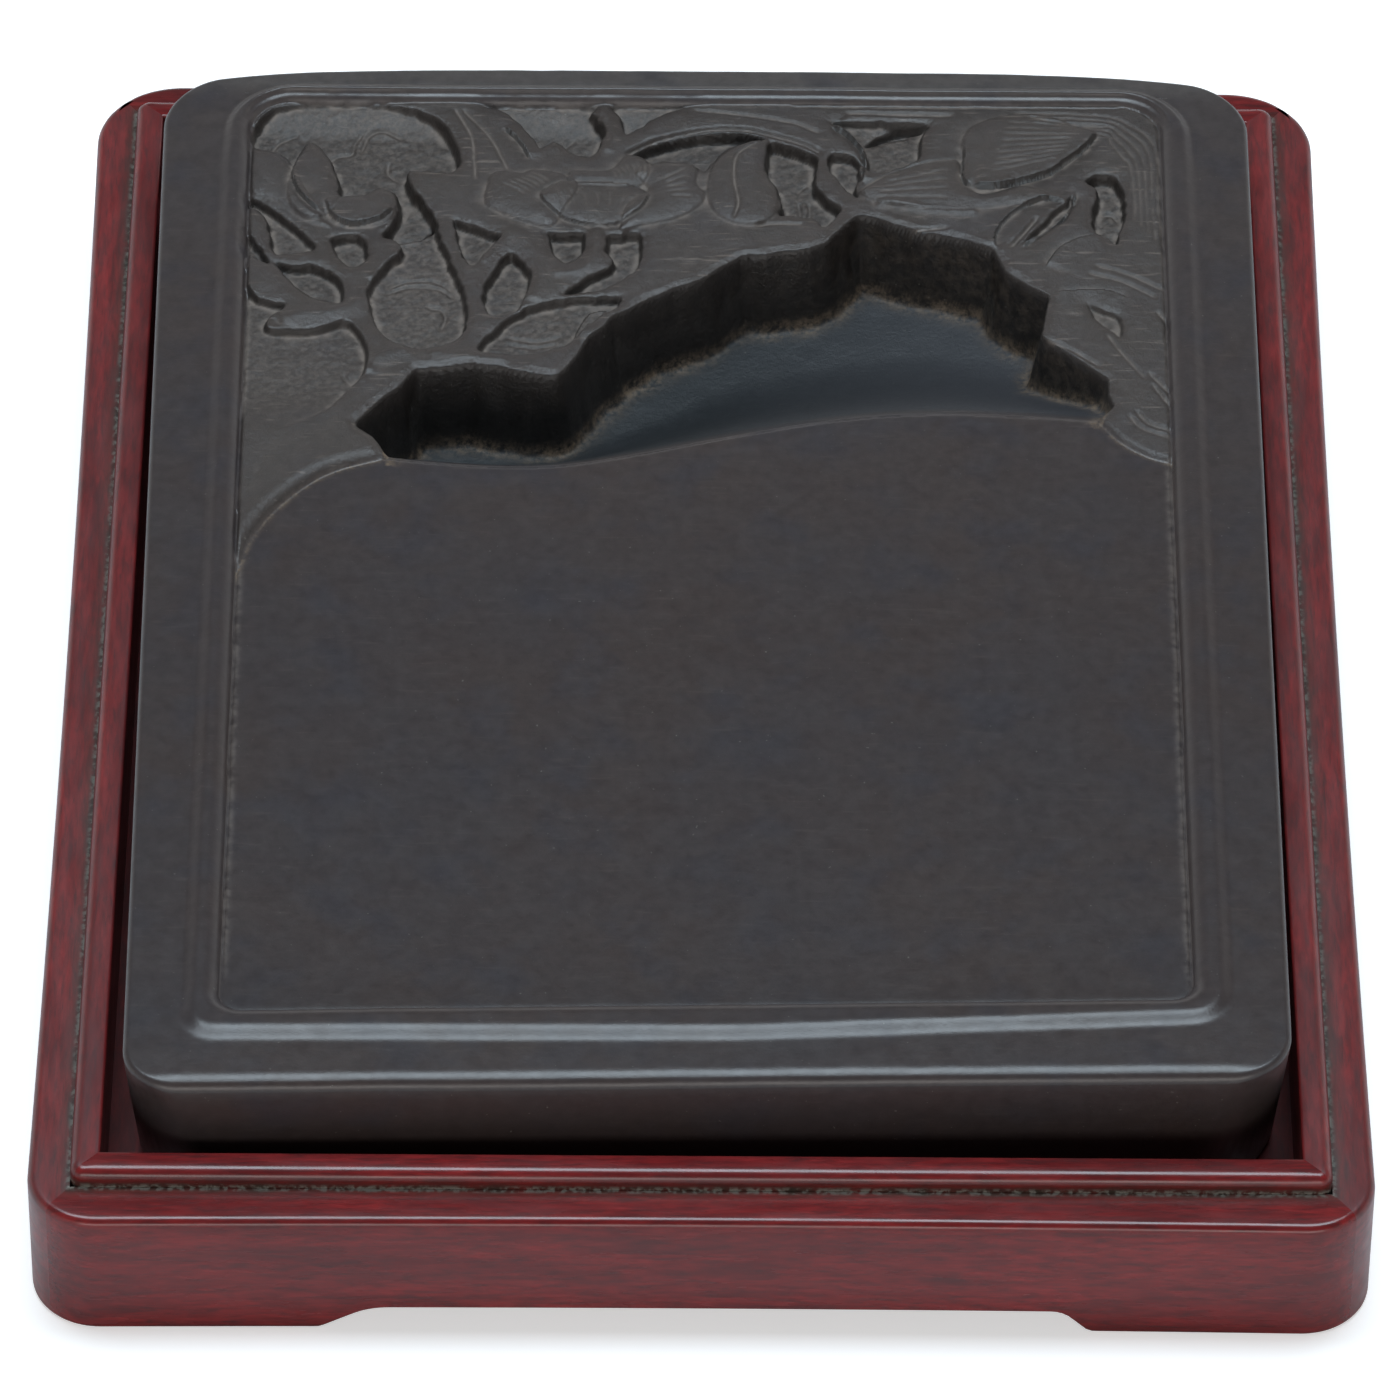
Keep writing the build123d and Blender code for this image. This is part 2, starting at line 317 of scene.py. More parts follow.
# X, height of the floor's foot there, and how far the floor runs from the lip down to it
POOL_FLOOR = [(-50, 18.6, 13), (-20, 18.6, 17), (5, 19.0, 26), (33, 19.4, 27), (60, 21.5, 20)]
FLOOR_WAVES = [(0.06, 3.0, 13)]
LIP_FALL = 0.5              # slope at which the floor leaves the lip
LIP_SOFTNESS = 0.35
WALL_STEEPNESS = 8.0
WALL_FACETS = 0.55          # how far the chiselled facets of the wall stand in and out
FACET_SIZES = [(1.0, 5.0, 11), (0.4, 2.1, 12)]      # share, size, seed
FACET_RISE = 1.5            # they start this far in from the rim
WALL_FOOT_SOFTNESS = 1.8
WALL_CORNER_RADIUS = 1.2
RIM_WIDTH = 1.1             # bevel along the top of the wall
RIM_FALL = 0.36
RIM_ALWAYS = 0.7            # share of the bevel that is always there
RIM_COMES_AND_GOES = [(0.5, 7.0, 15)]
RIM_WOBBLE = [(0.55, 6.0, 16), (0.22, 2.2, 17)]     # how far the cut edge wanders
CRUST_RISE = 0.9            # dried ink reaches this far up the wall, and this far over the floor
CRUST_SPREAD = 1.6
FULL_POOL_DEPTH = 12.0      # the pool's colour is at its fullest here

# ================================================================ the carving
HOLLOW_SCALE = 1.35         # these three set how bold the whole carving is
CROWN_SCALE = 1.9
OVERLAP_SCALE = 1.02
HOLLOW_WALL = 0.5           # width of the wall round sunk ground
HOLLOW_RIM = 0.3            # worn edge above it
HOLLOW_RIM_REACH = 0.7
HOLLOW_SHAKE = [[(0.18, 1.1, 5)], [(0.18, 1.1, 6)]]     # how the knife wanders along X and Y
HOLLOWS_AT_BACK = (97.3, 91.3, 0.35, 1.0)   # from Y, to Y, shares of the full depth
UNDERCUT_REACH = 0.7
OVERLAP_ENDS = 1.5          # strokes fade out over this length
STROKE_ENDS = 1.2
BLUNTNESS = 0.05            # a stroke starts this share of the way into its fade
SCRATCH_WIDTH = 0.2         # dust lying in the cut lines
FULL_DUST_DEPTH = 0.3       # a line this deep holds all the dust it can
CHISEL_MARKS = [(0.07, 1.2, 8)]     # on sunk ground
CHISEL_STROKES = [(0.05, 1.6, 9)]   # slanting ones, narrower by the next number
CHISEL_STRETCH = 2.2

# Ground cut away round the motifs: depth, then the outline.
HOLLOWS = {
    "behind_bud": (1.7, [
        (-64.8, 87.5), (-64.9, 91), (-63.6, 94.2), (-61.2, 96.4), (-56, 97.2), (-49, 97.3), (-43.8, 96.6),
        (-39.8, 94.9), (-37.2, 92.4), (-36, 89.5), (-35.2, 86.5), (-34.9, 84), (-36.2, 82), (-39.5, 82.3),
        (-42.3, 82.2), (-42.2, 80.3), (-41, 77.5), (-39.5, 75), (-38.4, 72.6), (-38.6, 70.6), (-41, 68.8),
        (-45.6, 68.3), (-44.6, 70.3), (-43.7, 73.5), (-43.9, 77), (-46.5, 78.3), (-48.5, 76.8),
        (-51.9, 76.6), (-52.2, 79), (-52.8, 82), (-53.5, 84.5), (-54.3, 85.9), (-56.4, 88.3), (-57.6, 87),
        (-58.6, 83.4), (-60, 84.9), (-61.8, 86), (-63.3, 86.2)]),
    "leaf_to_pointed_leaf": (1.8, [
        (-31.5, 97.3), (-28.8, 95.3), (-26.6, 92.7), (-24.9, 89.8), (-23.6, 87.2), (-22.6, 88.2),
        (-21.6, 88.9), (-20.4, 88), (-19.2, 86.4), (-16.2, 85.7), (-14.6, 89.5), (-14.2, 91.3),
        (-15, 93.5), (-16.2, 95.3), (-16.4, 97.3)]),
    "above_stem": (1.6, [
        (-12.9, 97.2), (-12.3, 94.5), (-11.8, 91.9), (-11.2, 90.6), (-9.5, 92), (-6.7, 94.6),
        (-3.2, 96.6), (-1.5, 97.2)]),
    "under_arching_leaf": (1.6, [
        (-11, 86), (-8.5, 88.2), (-5, 89.9), (-1, 91), (3.5, 91.4), (7, 90.8), (8.6, 89.6), (4.5, 88.3),
        (2.5, 86.5), (1, 84.5), (0, 82.6), (-1.2, 83.5), (-3, 84.3), (-5.5, 84.3), (-7.5, 83.7),
        (-8.5, 85), (-9.5, 85.8)]),
    "right_of_upright_leaf": (1.5, [
        (9.4, 89.4), (12, 88.4), (15.4, 86.6), (16.3, 85.8), (16.1, 84), (15.8, 81.5), (16.2, 79),
        (17.5, 76.8), (19.5, 74.5), (17.2, 70.5), (16, 72.2), (13, 73), (10.5, 73.2), (10.7, 74.8),
        (10.6, 77), (10.2, 79), (9, 81.3), (8.5, 83.5), (8.6, 86)]),
    "before_beak": (1.2, [
        (17.6, 84), (18.2, 86.8), (21, 86.4), (22.1, 85.2), (22.3, 82), (21.6, 79.4), (22, 77),
        (20.3, 78.4), (18.8, 81.2)]),
    "over_neck": (1.0, [
        (17.8, 93.8), (21, 93.6), (24.5, 93.9), (28, 93.7), (32.2, 93.2), (31.4, 91.3), (31, 88.5),
        (31, 86), (29.5, 84.5), (27.5, 83.5), (25, 82.2), (23.2, 82.5), (23, 85), (22.4, 88), (20.8, 91)]),
    "over_neck_crescent": (0.9, [
        (22.8, 89.6), (25, 92.2), (28, 93.4), (31.8, 93.1), (29, 92), (26, 90.8), (24, 89.8)]),
    "right_of_wing": (1.4, [
        (54.3, 81), (56, 82.3), (58.3, 82.2), (59.3, 80), (60, 77), (59.8, 73), (59, 69.5), (58.4, 67.3),
        (57.3, 68.3), (56, 69.3), (55, 71.5), (55.2, 75), (55.9, 78), (55.3, 80)]),
    "under_bud_petal": (1.0, [
        (-65.2, 76.4), (-62.6, 74.6), (-60, 72.2), (-57.5, 69.2), (-55.2, 66), (-55.6, 64.6), (-58, 64.2),
        (-60.6, 63.9), (-61.6, 66.3), (-62.3, 71), (-63.3, 73), (-65.2, 74.2)]),
    "left_edge_sliver": (1.0, [
        (-65.3, 69.2), (-64.3, 67.6), (-63.2, 65.6), (-61.4, 62.2), (-62.5, 62), (-64, 63.2), (-65.3, 64)]),
    "over_left_branch": (1.1, [
        (-60.8, 62.2), (-58, 61.6), (-55.5, 61.8), (-53.2, 60.6), (-51.4, 58.6), (-50.8, 56.5),
        (-50.9, 53.6), (-52.5, 53.6), (-54.6, 54.4), (-57, 56.2), (-58.8, 58.5), (-60, 60.5)]),
    "bud_cup": (1.2, [
        (-52.7, 67.8), (-49.2, 68.3), (-47.8, 66), (-47.7, 63.5), (-49.5, 61.2), (-51.5, 62.8),
        (-52.6, 65.3)]),
    "vase": (1.2, [
        (-38.4, 71.8), (-37.4, 68), (-36, 63.5), (-34.6, 59), (-33.6, 55), (-33.3, 50.5), (-33.9, 47.3),
        (-35.6, 45.2), (-38, 44.1), (-41, 44.1), (-43.6, 45.3), (-45.6, 47.6), (-46.9, 50.8),
        (-47.5, 54.5), (-47.4, 57.2), (-46.2, 60), (-44.3, 63.2), (-42.9, 65.3), (-43.9, 67),
        (-45.6, 68.2), (-41, 69.5)]),
    "right_of_vase": (1.1, [
        (-35.6, 71.9), (-33.5, 70.8), (-31, 69.6), (-28.8, 68.3), (-29.3, 67.2), (-31, 64.4),
        (-32.8, 61.7), (-34.3, 64), (-35.1, 67), (-35.4, 69.5)]),
    "leaf_shaped": (1.2, [
        (-27.2, 64.6), (-25.8, 63), (-24.6, 60.5), (-24.5, 58), (-25.4, 54.5), (-26.8, 52), (-28.5, 51),
        (-30.3, 51.4), (-31.2, 53.5), (-31.3, 56), (-30.6, 59), (-29.3, 62), (-28, 64.2)]),
    "left_of_flower_stem": (1.2, [
        (-22.3, 69.3), (-20, 69), (-17.2, 69.2), (-17, 67), (-17.2, 65), (-18.3, 63.2), (-19.6, 62.5),
        (-20.8, 63.5), (-21.8, 65.5), (-22.2, 67.5)]),
    "right_of_flower_stem": (1.1, [
        (-13.9, 68.6), (-11.6, 68.9), (-9.4, 69.1), (-8.7, 66.8), (-8.8, 63.8), (-9.7, 61.2),
        (-11.3, 59.2), (-13, 57.8), (-16, 56.4), (-19.8, 56), (-17.4, 58.8), (-15.5, 60.4), (-13.6, 61.8),
        (-13, 63.5), (-14.2, 65.3), (-13.9, 67)]),
    "over_pool_corner": (1.0, [
        (-31.5, 45.2), (-29.3, 48.6), (-27, 51.4), (-24, 53.4), (-20, 54.8), (-15.5, 55.5), (-11.8, 55.2),
        (-11.9, 53.5), (-14, 51.5), (-16.5, 49), (-18, 46.5), (-20, 44.8), (-22.5, 43.5), (-24, 43),
        (-28, 42.8), (-31.5, 43.5)]),
    "right_boulder": (0.5, [(54, 54.3), (56.8, 52.8), (58.7, 51.5), (58.8, 47.6), (57, 48.8), (55, 51.3)]),
    "tail": (0.8, [(47.5, 71), (50, 74.6), (52, 77), (52.8, 77.5), (51.5, 73), (48, 69.5), (45, 67)]),
}

# The open ground at the lower left, which runs out to nothing at its near side.
LOWER_LEFT = [
    (-65.4, 55.2), (-62.8, 54.2), (-60.4, 53.4), (-58.9, 53), (-59.3, 51.4), (-60.9, 50.2), (-61.3, 48),
    (-59.5, 47.7), (-57, 47.6), (-54.5, 48), (-52.5, 48.9), (-51, 49.6), (-49.6, 49.3), (-48.2, 47.2),
    (-47.2, 44.6), (-46.9, 41.8), (-47.2, 39), (-48.4, 36.6), (-49.6, 34.8), (-52, 31), (-55, 28.5),
    (-59, 26.3), (-65.4, 24.6)]
LOWER_LEFT_DEPTH = 1.2
LOWER_LEFT_WALL = 0.7
LOWER_LEFT_FADE = (25, 37)  # Y
LOWER_LEFT_DUST = 0.6

# Raised surfaces with a crowned top: height, how far the crown reaches in, then the outline.
CROWNS = {
    "bud_tip": (0.35, 3.0, [
        (-56.5, 88.3), (-54.3, 85.9), (-52.8, 82), (-51.9, 76.6), (-53, 73), (-56, 71), (-59, 74),
        (-59.4, 79), (-58.4, 84)]),
    "bud_left_petal": (0.3, 4.0, [
        (-65, 86), (-61.8, 85.6), (-59, 82), (-57, 77), (-54.5, 72), (-53, 69.5), (-57, 71), (-61, 75),
        (-65, 77.5)]),
    "bud_cup_petal": (0.4, 3.0, [
        (-54, 74.6), (-51.5, 76.3), (-48.5, 76.6), (-46.2, 78), (-44, 76.6), (-44, 73), (-46, 70.4),
        (-50, 69.6), (-53, 71)]),
    "flower_left": (0.45, 4.0, [
        (-31, 79.3), (-30.4, 81.2), (-28.6, 82), (-26, 81.5), (-24.5, 82.3), (-20, 81), (-18, 78),
        (-20, 73), (-22, 69.9), (-26, 71), (-29, 72.8), (-31.3, 75)]),
    "flower_right": (0.45, 4.0, [
        (-7.5, 84), (-3, 84.2), (-1, 82.8), (-1.2, 79.5), (0, 77.5), (-0.1, 75.5), (-2, 73.2), (-5, 71.3),
        (-9, 70.2), (-12, 69.3), (-11, 74), (-8, 78), (-10, 81)]),
    "flower_top": (0.35, 3.0, [
        (-19, 82), (-13.7, 82.3), (-11, 86), (-8.5, 85), (-7.5, 83), (-9, 79), (-14, 78.5), (-19, 79)]),
    "flower_cup": (0.35, 5.0, [
        (-23.5, 76), (-20, 78.8), (-16, 79), (-10, 78.5), (-7.8, 76.5), (-9, 73.5), (-12, 71),
        (-15, 70.2), (-19, 71.2), (-22, 73.5)]),
    "upright_leaf": (0.4, 3.5, [
        (9, 89.7), (5, 88.2), (1.8, 85), (0.4, 80), (0.6, 75), (3, 71.5), (7, 70.5), (10, 73), (10.4, 78),
        (8.8, 83)]),
    "wing": (0.4, 5.0, [
        (37.2, 84), (36.6, 88), (38, 92), (42, 94.5), (48, 95.2), (53, 93), (56.3, 91), (54.5, 88),
        (52.5, 85.8), (49, 82.2), (45, 80.3), (41, 78.4), (38, 78.5), (36.8, 81)]),
    "bird_body": (0.4, 4.0, [
        (22, 78), (24, 80.4), (30, 84), (36, 85), (37, 80), (40, 77.6), (45, 79.6), (49, 77), (46, 75.5),
        (38, 74.2), (30, 74.4), (25, 75.4)]),
    "left_boulder": (0.15, 6.0, [
        (-60.9, 50), (-57, 47.8), (-51, 49.4), (-49, 54), (-51, 53.4), (-54.6, 54), (-58.8, 58),
        (-61, 61.6), (-65, 62), (-65, 55.6), (-59, 53)]),
}

# Edges where one form lies over the next. The ground on the line's left stands proud:
# height, how far back it fades, then the line.
OVERLAPS = {
    "leaf_curl": (0.5, 2.5, [(18, 92.8), (20.5, 90.5), (22.3, 87.5), (22.9, 84), (22.3, 80)]),
    "flower_cup_left": (0.2, 3.0, [(-23.6, 76.4), (-22.4, 73.8), (-19, 71.2), (-15, 70.1)]),
    "flower_cup_right": (0.2, 3.0, [(-15, 70.1), (-12, 70.8), (-9, 73.4), (-7.8, 76.6)]),
    "flower_cup_top": (0.2, 2.0, [(-7.8, 76.6), (-10, 78.7), (-16, 79.2), (-20, 79), (-23.6, 76.4)]),
    "wing_lower": (0.6, 3.0, [
        (38, 79), (41, 79), (45, 80.3), (49, 82.2), (52.5, 85.8), (54.5, 88), (56.3, 91)]),
    "wing_front": (0.4, 2.5, [(37.2, 88), (36.9, 84), (36.8, 81), (38, 78.8)]),
    "bud_edge": (0.4, 2.5, [(-58.2, 85.4), (-58.8, 80), (-57.4, 75.5), (-54.4, 72)]),
    "bud_cup_edge": (0.4, 2.0, [(-54, 74.4), (-52.6, 71.4), (-50, 70), (-46.4, 71), (-44.2, 73.6)]),
    "leaf_pair": (0.4, 2.5, [(-29, 92), (-26.6, 88.6), (-24.8, 84.5)]),
    "tail_upper": (0.4, 2.0, [(41.5, 66), (41.2, 68.5), (43, 72.5), (46, 75.5), (49, 76.7), (51.5, 76)]),
    "tail_lower": (0.4, 2.0, [(45, 66), (47.5, 69.4), (50, 72), (52.5, 76), (53, 78.5)]),
    "boulder_top": (0.45, 3.0, [(57, 69.2), (53, 68), (50, 65.5), (48.2, 62)]),
    "boulder_fold": (0.35, 2.5, [(60, 55.5), (56, 57), (49.5, 56.6)]),
    "pool_corner_leaf": (0.4, 2.0, [(-12, 53.2), (-15.5, 53.3), (-17, 51.5), (-18.5, 47)]),
}

# Raised stems and cords: half width, height, then the line.
RIDGES = [
    (1.1, 0.35, [(-14.6, 97.3), (-14, 93), (-13.2, 89.5), (-14.3, 86)]),
    (0.9, 0.3, [(-15.5, 70), (-15.3, 66), (-17, 61), (-22, 60)]),
    (0.5, 0.35, [(-45.5, 68.2), (-42.5, 68.2), (-40, 69.5), (-38.7, 71.3)]),
    (1.6, 0.35, [(-41, 44), (-46.5, 41), (-47, 38)]),
    (1.2, 0.3, [(-47, 58), (-45, 61.5), (-43, 65)]),
    (1.4, 0.25, [(-32, 62), (-30, 66), (-27, 68.5), (-24, 64), (-23.4, 59), (-24.5, 54)]),
    (0.7, 0.35, [(24, 75), (27, 75.3), (32, 74), (37, 73.7), (39.2, 73.8)]),
    (1.6, 0.4, [(-60, 49), (-56, 50.6), (-52, 51.4), (-49, 53), (-47.6, 57)]),
    (1.4, 0.3, [(-39, 43), (-33, 42.4), (-27, 41.8)]),
]

# Cut lines, grouped by half width and depth.
CUTS = {
    (0.3, 0.25): [
        [(-21.5, 89), (-20, 90.4), (-18.5, 92.3)],
        [(13, 80), (14, 81.4), (15, 82)],
        [(13.2, 78.6), (13.6, 76), (13.4, 73.6)],
        [(14.8, 78.4), (15, 76), (14.6, 73.6)],
        [(-28, 48), (-24, 47.2), (-20, 48)],
        [(-28, 46.6), (-24, 45.8), (-20.5, 46.6)],
        [(-50.6, 40), (-50, 38), (-48.4, 36.4)],
    ],
    (0.3, 0.3): [
        [(-62, 86.3), (-62.1, 88.5), (-60.8, 91), (-58, 92.5)],
        [(-54.3, 86.3), (-52.5, 88), (-50.6, 88.6), (-50.2, 91), (-49, 93)],
        [(-49.5, 88), (-49, 90), (-48.2, 92.5), (-46, 93.2), (-43, 91.5)],
        [(-35, 96), (-31, 90), (-29, 85), (-28, 82)],
        [(-2, 96), (5, 95), (12, 93.4), (17, 90.8)],
        [(7, 70.5), (10, 71), (14.5, 71)],
        [(56, 75.7), (58, 75.7), (59, 74)],
        [(63.5, 53), (65, 50), (64.8, 46)],
        [(56.5, 48), (59, 43), (62, 38)],
        [(47, 47), (49, 46), (52, 44), (56, 40.5)],
        [(23, 71), (29, 70), (35, 70.5)],
        [(-45, 58.5), (-43, 59.8), (-40, 60.3), (-37.5, 59.8), (-35.3, 57.8)],
        [(-45.4, 57), (-43, 58.5), (-40, 59), (-37.3, 58.4), (-35, 56.4)],
    ],
    (0.3, 0.35): [
        [(55, 62.5), (60, 60.5), (65, 57)],
        [(54, 60.8), (59, 59), (64, 55.4)],
    ],
    (0.35, 0.3): [
        [(-36, 96), (-33.5, 90), (-33, 85), (-32.7, 80)],
        [(12, 96.9), (35, 96.8), (60, 97)],
        [(20, 95.4), (30, 95.2), (36, 95)],
        [(46, 94.5), (52, 93), (58, 92.8)],
        [(59, 31), (61, 28), (64.8, 26)],
    ],
    (0.35, 0.35): [
        [(-45.2, 87), (-45.3, 84.5), (-43.5, 82.3)],
        [(62, 40), (65.3, 35)],
        [(62.5, 37.5), (65.3, 32)],
        [(60, 32), (62, 29), (65.3, 27.5)],
        [(-39.5, 54.8), (-37, 54), (-36.5, 52), (-37.3, 49.5)],
    ],
    (0.35, 0.4): [
        [(9, 89.5), (6.4, 87.6), (4.5, 85), (4.2, 80), (4.8, 75), (4, 71.5)],
        [(22, 78), (24, 80), (30, 84), (36, 85)],
    ],
    (0.4, 0.5): [
        [(-11.5, 86), (-8, 88.7), (-4, 90.5), (1, 91.8), (6, 91.8), (10, 90.5), (14, 88.7), (17, 86.5)],
        [(47.5, 73), (44.5, 68), (43, 66)],
    ],
}

# Fine lines side by side: count, half width, depth, then where the first and the last one
# start, and where those two end.
FANS = [
    # petals, spreading from the heart of the flower
    (7, 0.2, 0.07, (-20, 73.4), (-10.6, 73.2), (-21.6, 77.4), (-9.6, 77.4)),
    (8, 0.2, 0.12, (-14, 83), (-8, 84), (-12.4, 79.6), (-8.2, 79.6)),
    (6, 0.2, 0.16, (-29, 78.6), (-25, 81.4), (-25.4, 76), (-22, 78.6)),
    (5, 0.2, 0.14, (-2.6, 82.6), (-1.4, 76), (-6.4, 79.4), (-5.4, 76)),
    # feathers of the wing, then of the neck
    (9, 0.25, 0.12, (40.5, 81.5), (43, 93), (51, 85), (54.5, 91.6)),
    (4, 0.25, 0.12, (24, 76.4), (26, 79.4), (35, 76.2), (35, 82.4)),
]
FAN_BOW = 0.3               # the middle of each line stands this far to the right
SWIRL_LINES = 5             # round the right-hand corner
SWIRL_WIDTH = 0.26
SWIRL_DEPTH = 0.14


# ================================================================ the inkstone's height
def border_height(x, y):
    """Height of the stone's border: inner side, crest, outer slope, flat, worn near edge."""
    field = signed(FIELD_LINE, x, y)
    bead = signed(BEAD_LINE, x, y)
    slope = np.interp(y, *BEAD_SLOPES)
    near_side = BEAD_INNER_HEIGHT * np.clip(1 - field / BEAD_INNER_RISE, 0, 1)**2
    far_side = BACK_BEVEL_FALL * np.clip(1 - field / BACK_BEVEL_WIDTH, 0, 1)
    far_side += BACK_WALL_FALL * ease((BACK_BEVEL_WIDTH + BACK_WALL_WIDTH - field) / BACK_WALL_WIDTH)
    z = BEAD_CREST - near_side + (near_side - far_side) * blend(y, *BACK_STARTS)
    z -= (BEAD_CREST - BAND_HEIGHT) * ease(bead / slope)
    z -= BAND_FALL * np.maximum(bead - slope, 0)
    z -= GROOVE_DEPTH * np.exp(-((bead - slope) / GROOVE_WIDTH)**2) * blend(y, *GROOVE_STARTS)
    near_y = np.interp(x, *np.transpose(NEAR_EDGE))
    bevel = np.maximum(1 - (y - near_y) / NEAR_BEVEL_WIDTH, 0)**NEAR_BEVEL_CURVE
    z -= NEAR_BEVEL_FALL * np.minimum(bevel, 1) * blend(np.abs(x), *NEAR_BEVEL_ENDS)
    z += waves(x, y, BORDER_WAVES) + waves(x, POLISH_STRETCH * y, POLISH_MARKS)
    return z, field


class Relief:
    """The stone's top as a height map, cut with a few carving tools."""

    def __init__(self, xs, ys):
        self.xs, self.ys = xs, ys
        self.x, self.y = np.meshgrid(xs, ys)
        self.z, self.field = border_height(self.x, self.y)
        # where the material finds sunk ground, the foot of a wall, the pool, the carved panel,
        # dust in cut lines and a worn rim, each from 0 to 1
        self.ground, self.foot, self.pool, self.panel, self.scratch, self.worn = np.zeros((6, *self.x.shape))

    def around(self, line, reach):
        """The part of the map within reach of a line."""
        low, high = line.min(0) - reach, line.max(0) + reach
        cols = slice(*np.searchsorted(self.xs, [low[0], high[0]]))
        rows = slice(*np.searchsorted(self.ys, [low[1], high[1]]))
        return rows, cols

    def lay_field(self):
        """The grinding field, the panel that rises beyond its shoulders, and the crevice round both."""
        inside = self.field < 0
        dish = DISH_DEPTH * np.clip(1 - (self.x / DISH_HALF[0])**2, 0, 1)
        dish *= np.clip(1 - ((self.y - DISH_MIDDLE_Y) / DISH_HALF[1])**2, 0, 1)
        shoulders = [*curve(LEFT_SHOULDER), *UNDER_POOL, *curve(RIGHT_SHOULDER), *PAST_FAR_END]
        beyond = -signed(np.array([*shoulders, shoulders[0]]), self.x, self.y)
        rise = np.clip(beyond / np.interp(self.x, *PANEL_RISE), 0, 1)
        rise = 1 - (1 - rise)**2
        swell = SHOULDER_SWELL * np.exp(-np.maximum(beyond, 0) / SWELL_REACH) * blend(self.x, *SWELL_STARTS)
        flat = FIELD_HEIGHT - dish + (PANEL_HEIGHT - FIELD_HEIGHT + swell) * rise
        flat += waves(self.x, self.y, FIELD_WAVES)
        self.z = np.where(inside, flat, self.z)
        width = np.interp(self.y, *CREVICE_WIDTH)
        self.z -= blend(self.y, *CREVICE_DEPTH) * np.exp(-(self.field / width)**2)
        self.panel = blend(beyond, *PANEL_SKIN_STARTS) * blend(-self.field, 0, PANEL_SKIN_MARGIN)
        self.foot = np.where(beyond > 0, 0, np.exp(-(beyond / FOOT_DUST_WIDTH)**2)) * inside

    def sink(self, here, inside, depth, dust=1.0):
        """Lowers part of the map where inside is 1, and marks it as ground."""
        self.z[here] -= depth * inside
        self.ground[here] = np.maximum(self.ground[here], dust * inside)

    def hollow(self, outline, depth):
        """Sunk ground with a steep wall round it and a worn edge above the wall."""
        line = curve(outline, closed=True)
        here = self.around(line, reach=3)
        x, y = self.x[here], self.y[here]
        shake_x, shake_y = [waves(x, y, layers) for layers in HOLLOW_SHAKE]
        d = signed(line, x + shake_x, y + shake_y)
        inside = ease(-d / HOLLOW_WALL) * (self.field[here] < 0)
        self.sink(here, inside, depth * blend(y, *HOLLOWS_AT_BACK))
        self.z[here] -= HOLLOW_RIM * np.exp(-np.maximum(d, 0) / HOLLOW_RIM_REACH)

    def lower_left(self):
        """The open ground, whose near side runs out to nothing."""
        line = curve(LOWER_LEFT, closed=True)
        here = self.around(line, reach=3)
        d = signed(line, self.x[here], self.y[here])
        inside = ease(-d / LOWER_LEFT_WALL) * blend(self.y[here], *LOWER_LEFT_FADE) * (self.field[here] < 0)
        self.sink(here, inside, LOWER_LEFT_DEPTH, LOWER_LEFT_DUST)

    def crown(self, outline, height, reach):
        """A surface that rises from its outline like a cushion."""
        line = curve(outline, closed=True)
        here = self.around(line, reach=1)
        d = signed(line, self.x[here], self.y[here])
        t = np.clip(-d / reach, 0, 1)
        self.z[here] += height * np.sqrt(t * (2 - t)) * (self.field[here] < 0)

    def overlap(self, path, height, reach):
        """A step along a line: proud on its left, and dug out on its right."""
        line = curve(path)
        here = self.around(line, reach * 2)
        d, along, side = nearest(line, self.x[here], self.y[here])
        step = np.where(side > 0, np.exp(-d / reach), -np.exp(-d / UNDERCUT_REACH))
        self.z[here] += self.taper(line, along, OVERLAP_ENDS) * height * step

    def ridge(self, path, width, height):
        """A rounded stroke along a line. A negative height cuts it, and dust lies in the cut."""
        line = curve(path)
        here = self.around(line, width * 3)
        d, along, _ = nearest(line, self.x[here], self.y[here])
        stroke = self.taper(line, along, STROKE_ENDS)
        self.z[here] += height * stroke * np.exp(-(d / width)**2)
        if height < 0:
            filled = stroke * min(1, -height / FULL_DUST_DEPTH)
            self.scratch[here] = np.maximum(self.scratch[here], filled * np.exp(-(d / SCRATCH_WIDTH)**2))

    def taper(self, line, along, length):
        """1 along a stroke, falling to almost 0 over its ends."""
        total = np.hypot(*np.diff(line, axis=0).T).sum()
        return ease(np.minimum(along, total - along) / min(length, total / 3) + BLUNTNESS)

    def roughen(self):
        """Chisel marks left on the sunken ground, and a light hand-finished wave everywhere."""
        x, y = self.x, self.y
        marks = waves(x, y, CHISEL_MARKS) + waves(x + y, CHISEL_STRETCH * (y - x), CHISEL_STROKES)
        self.z += self.ground * marks
        self.z += waves(x, y, PANEL_WAVES) * blend(y, *PANEL_WAVES_START) * (self.field < 0)

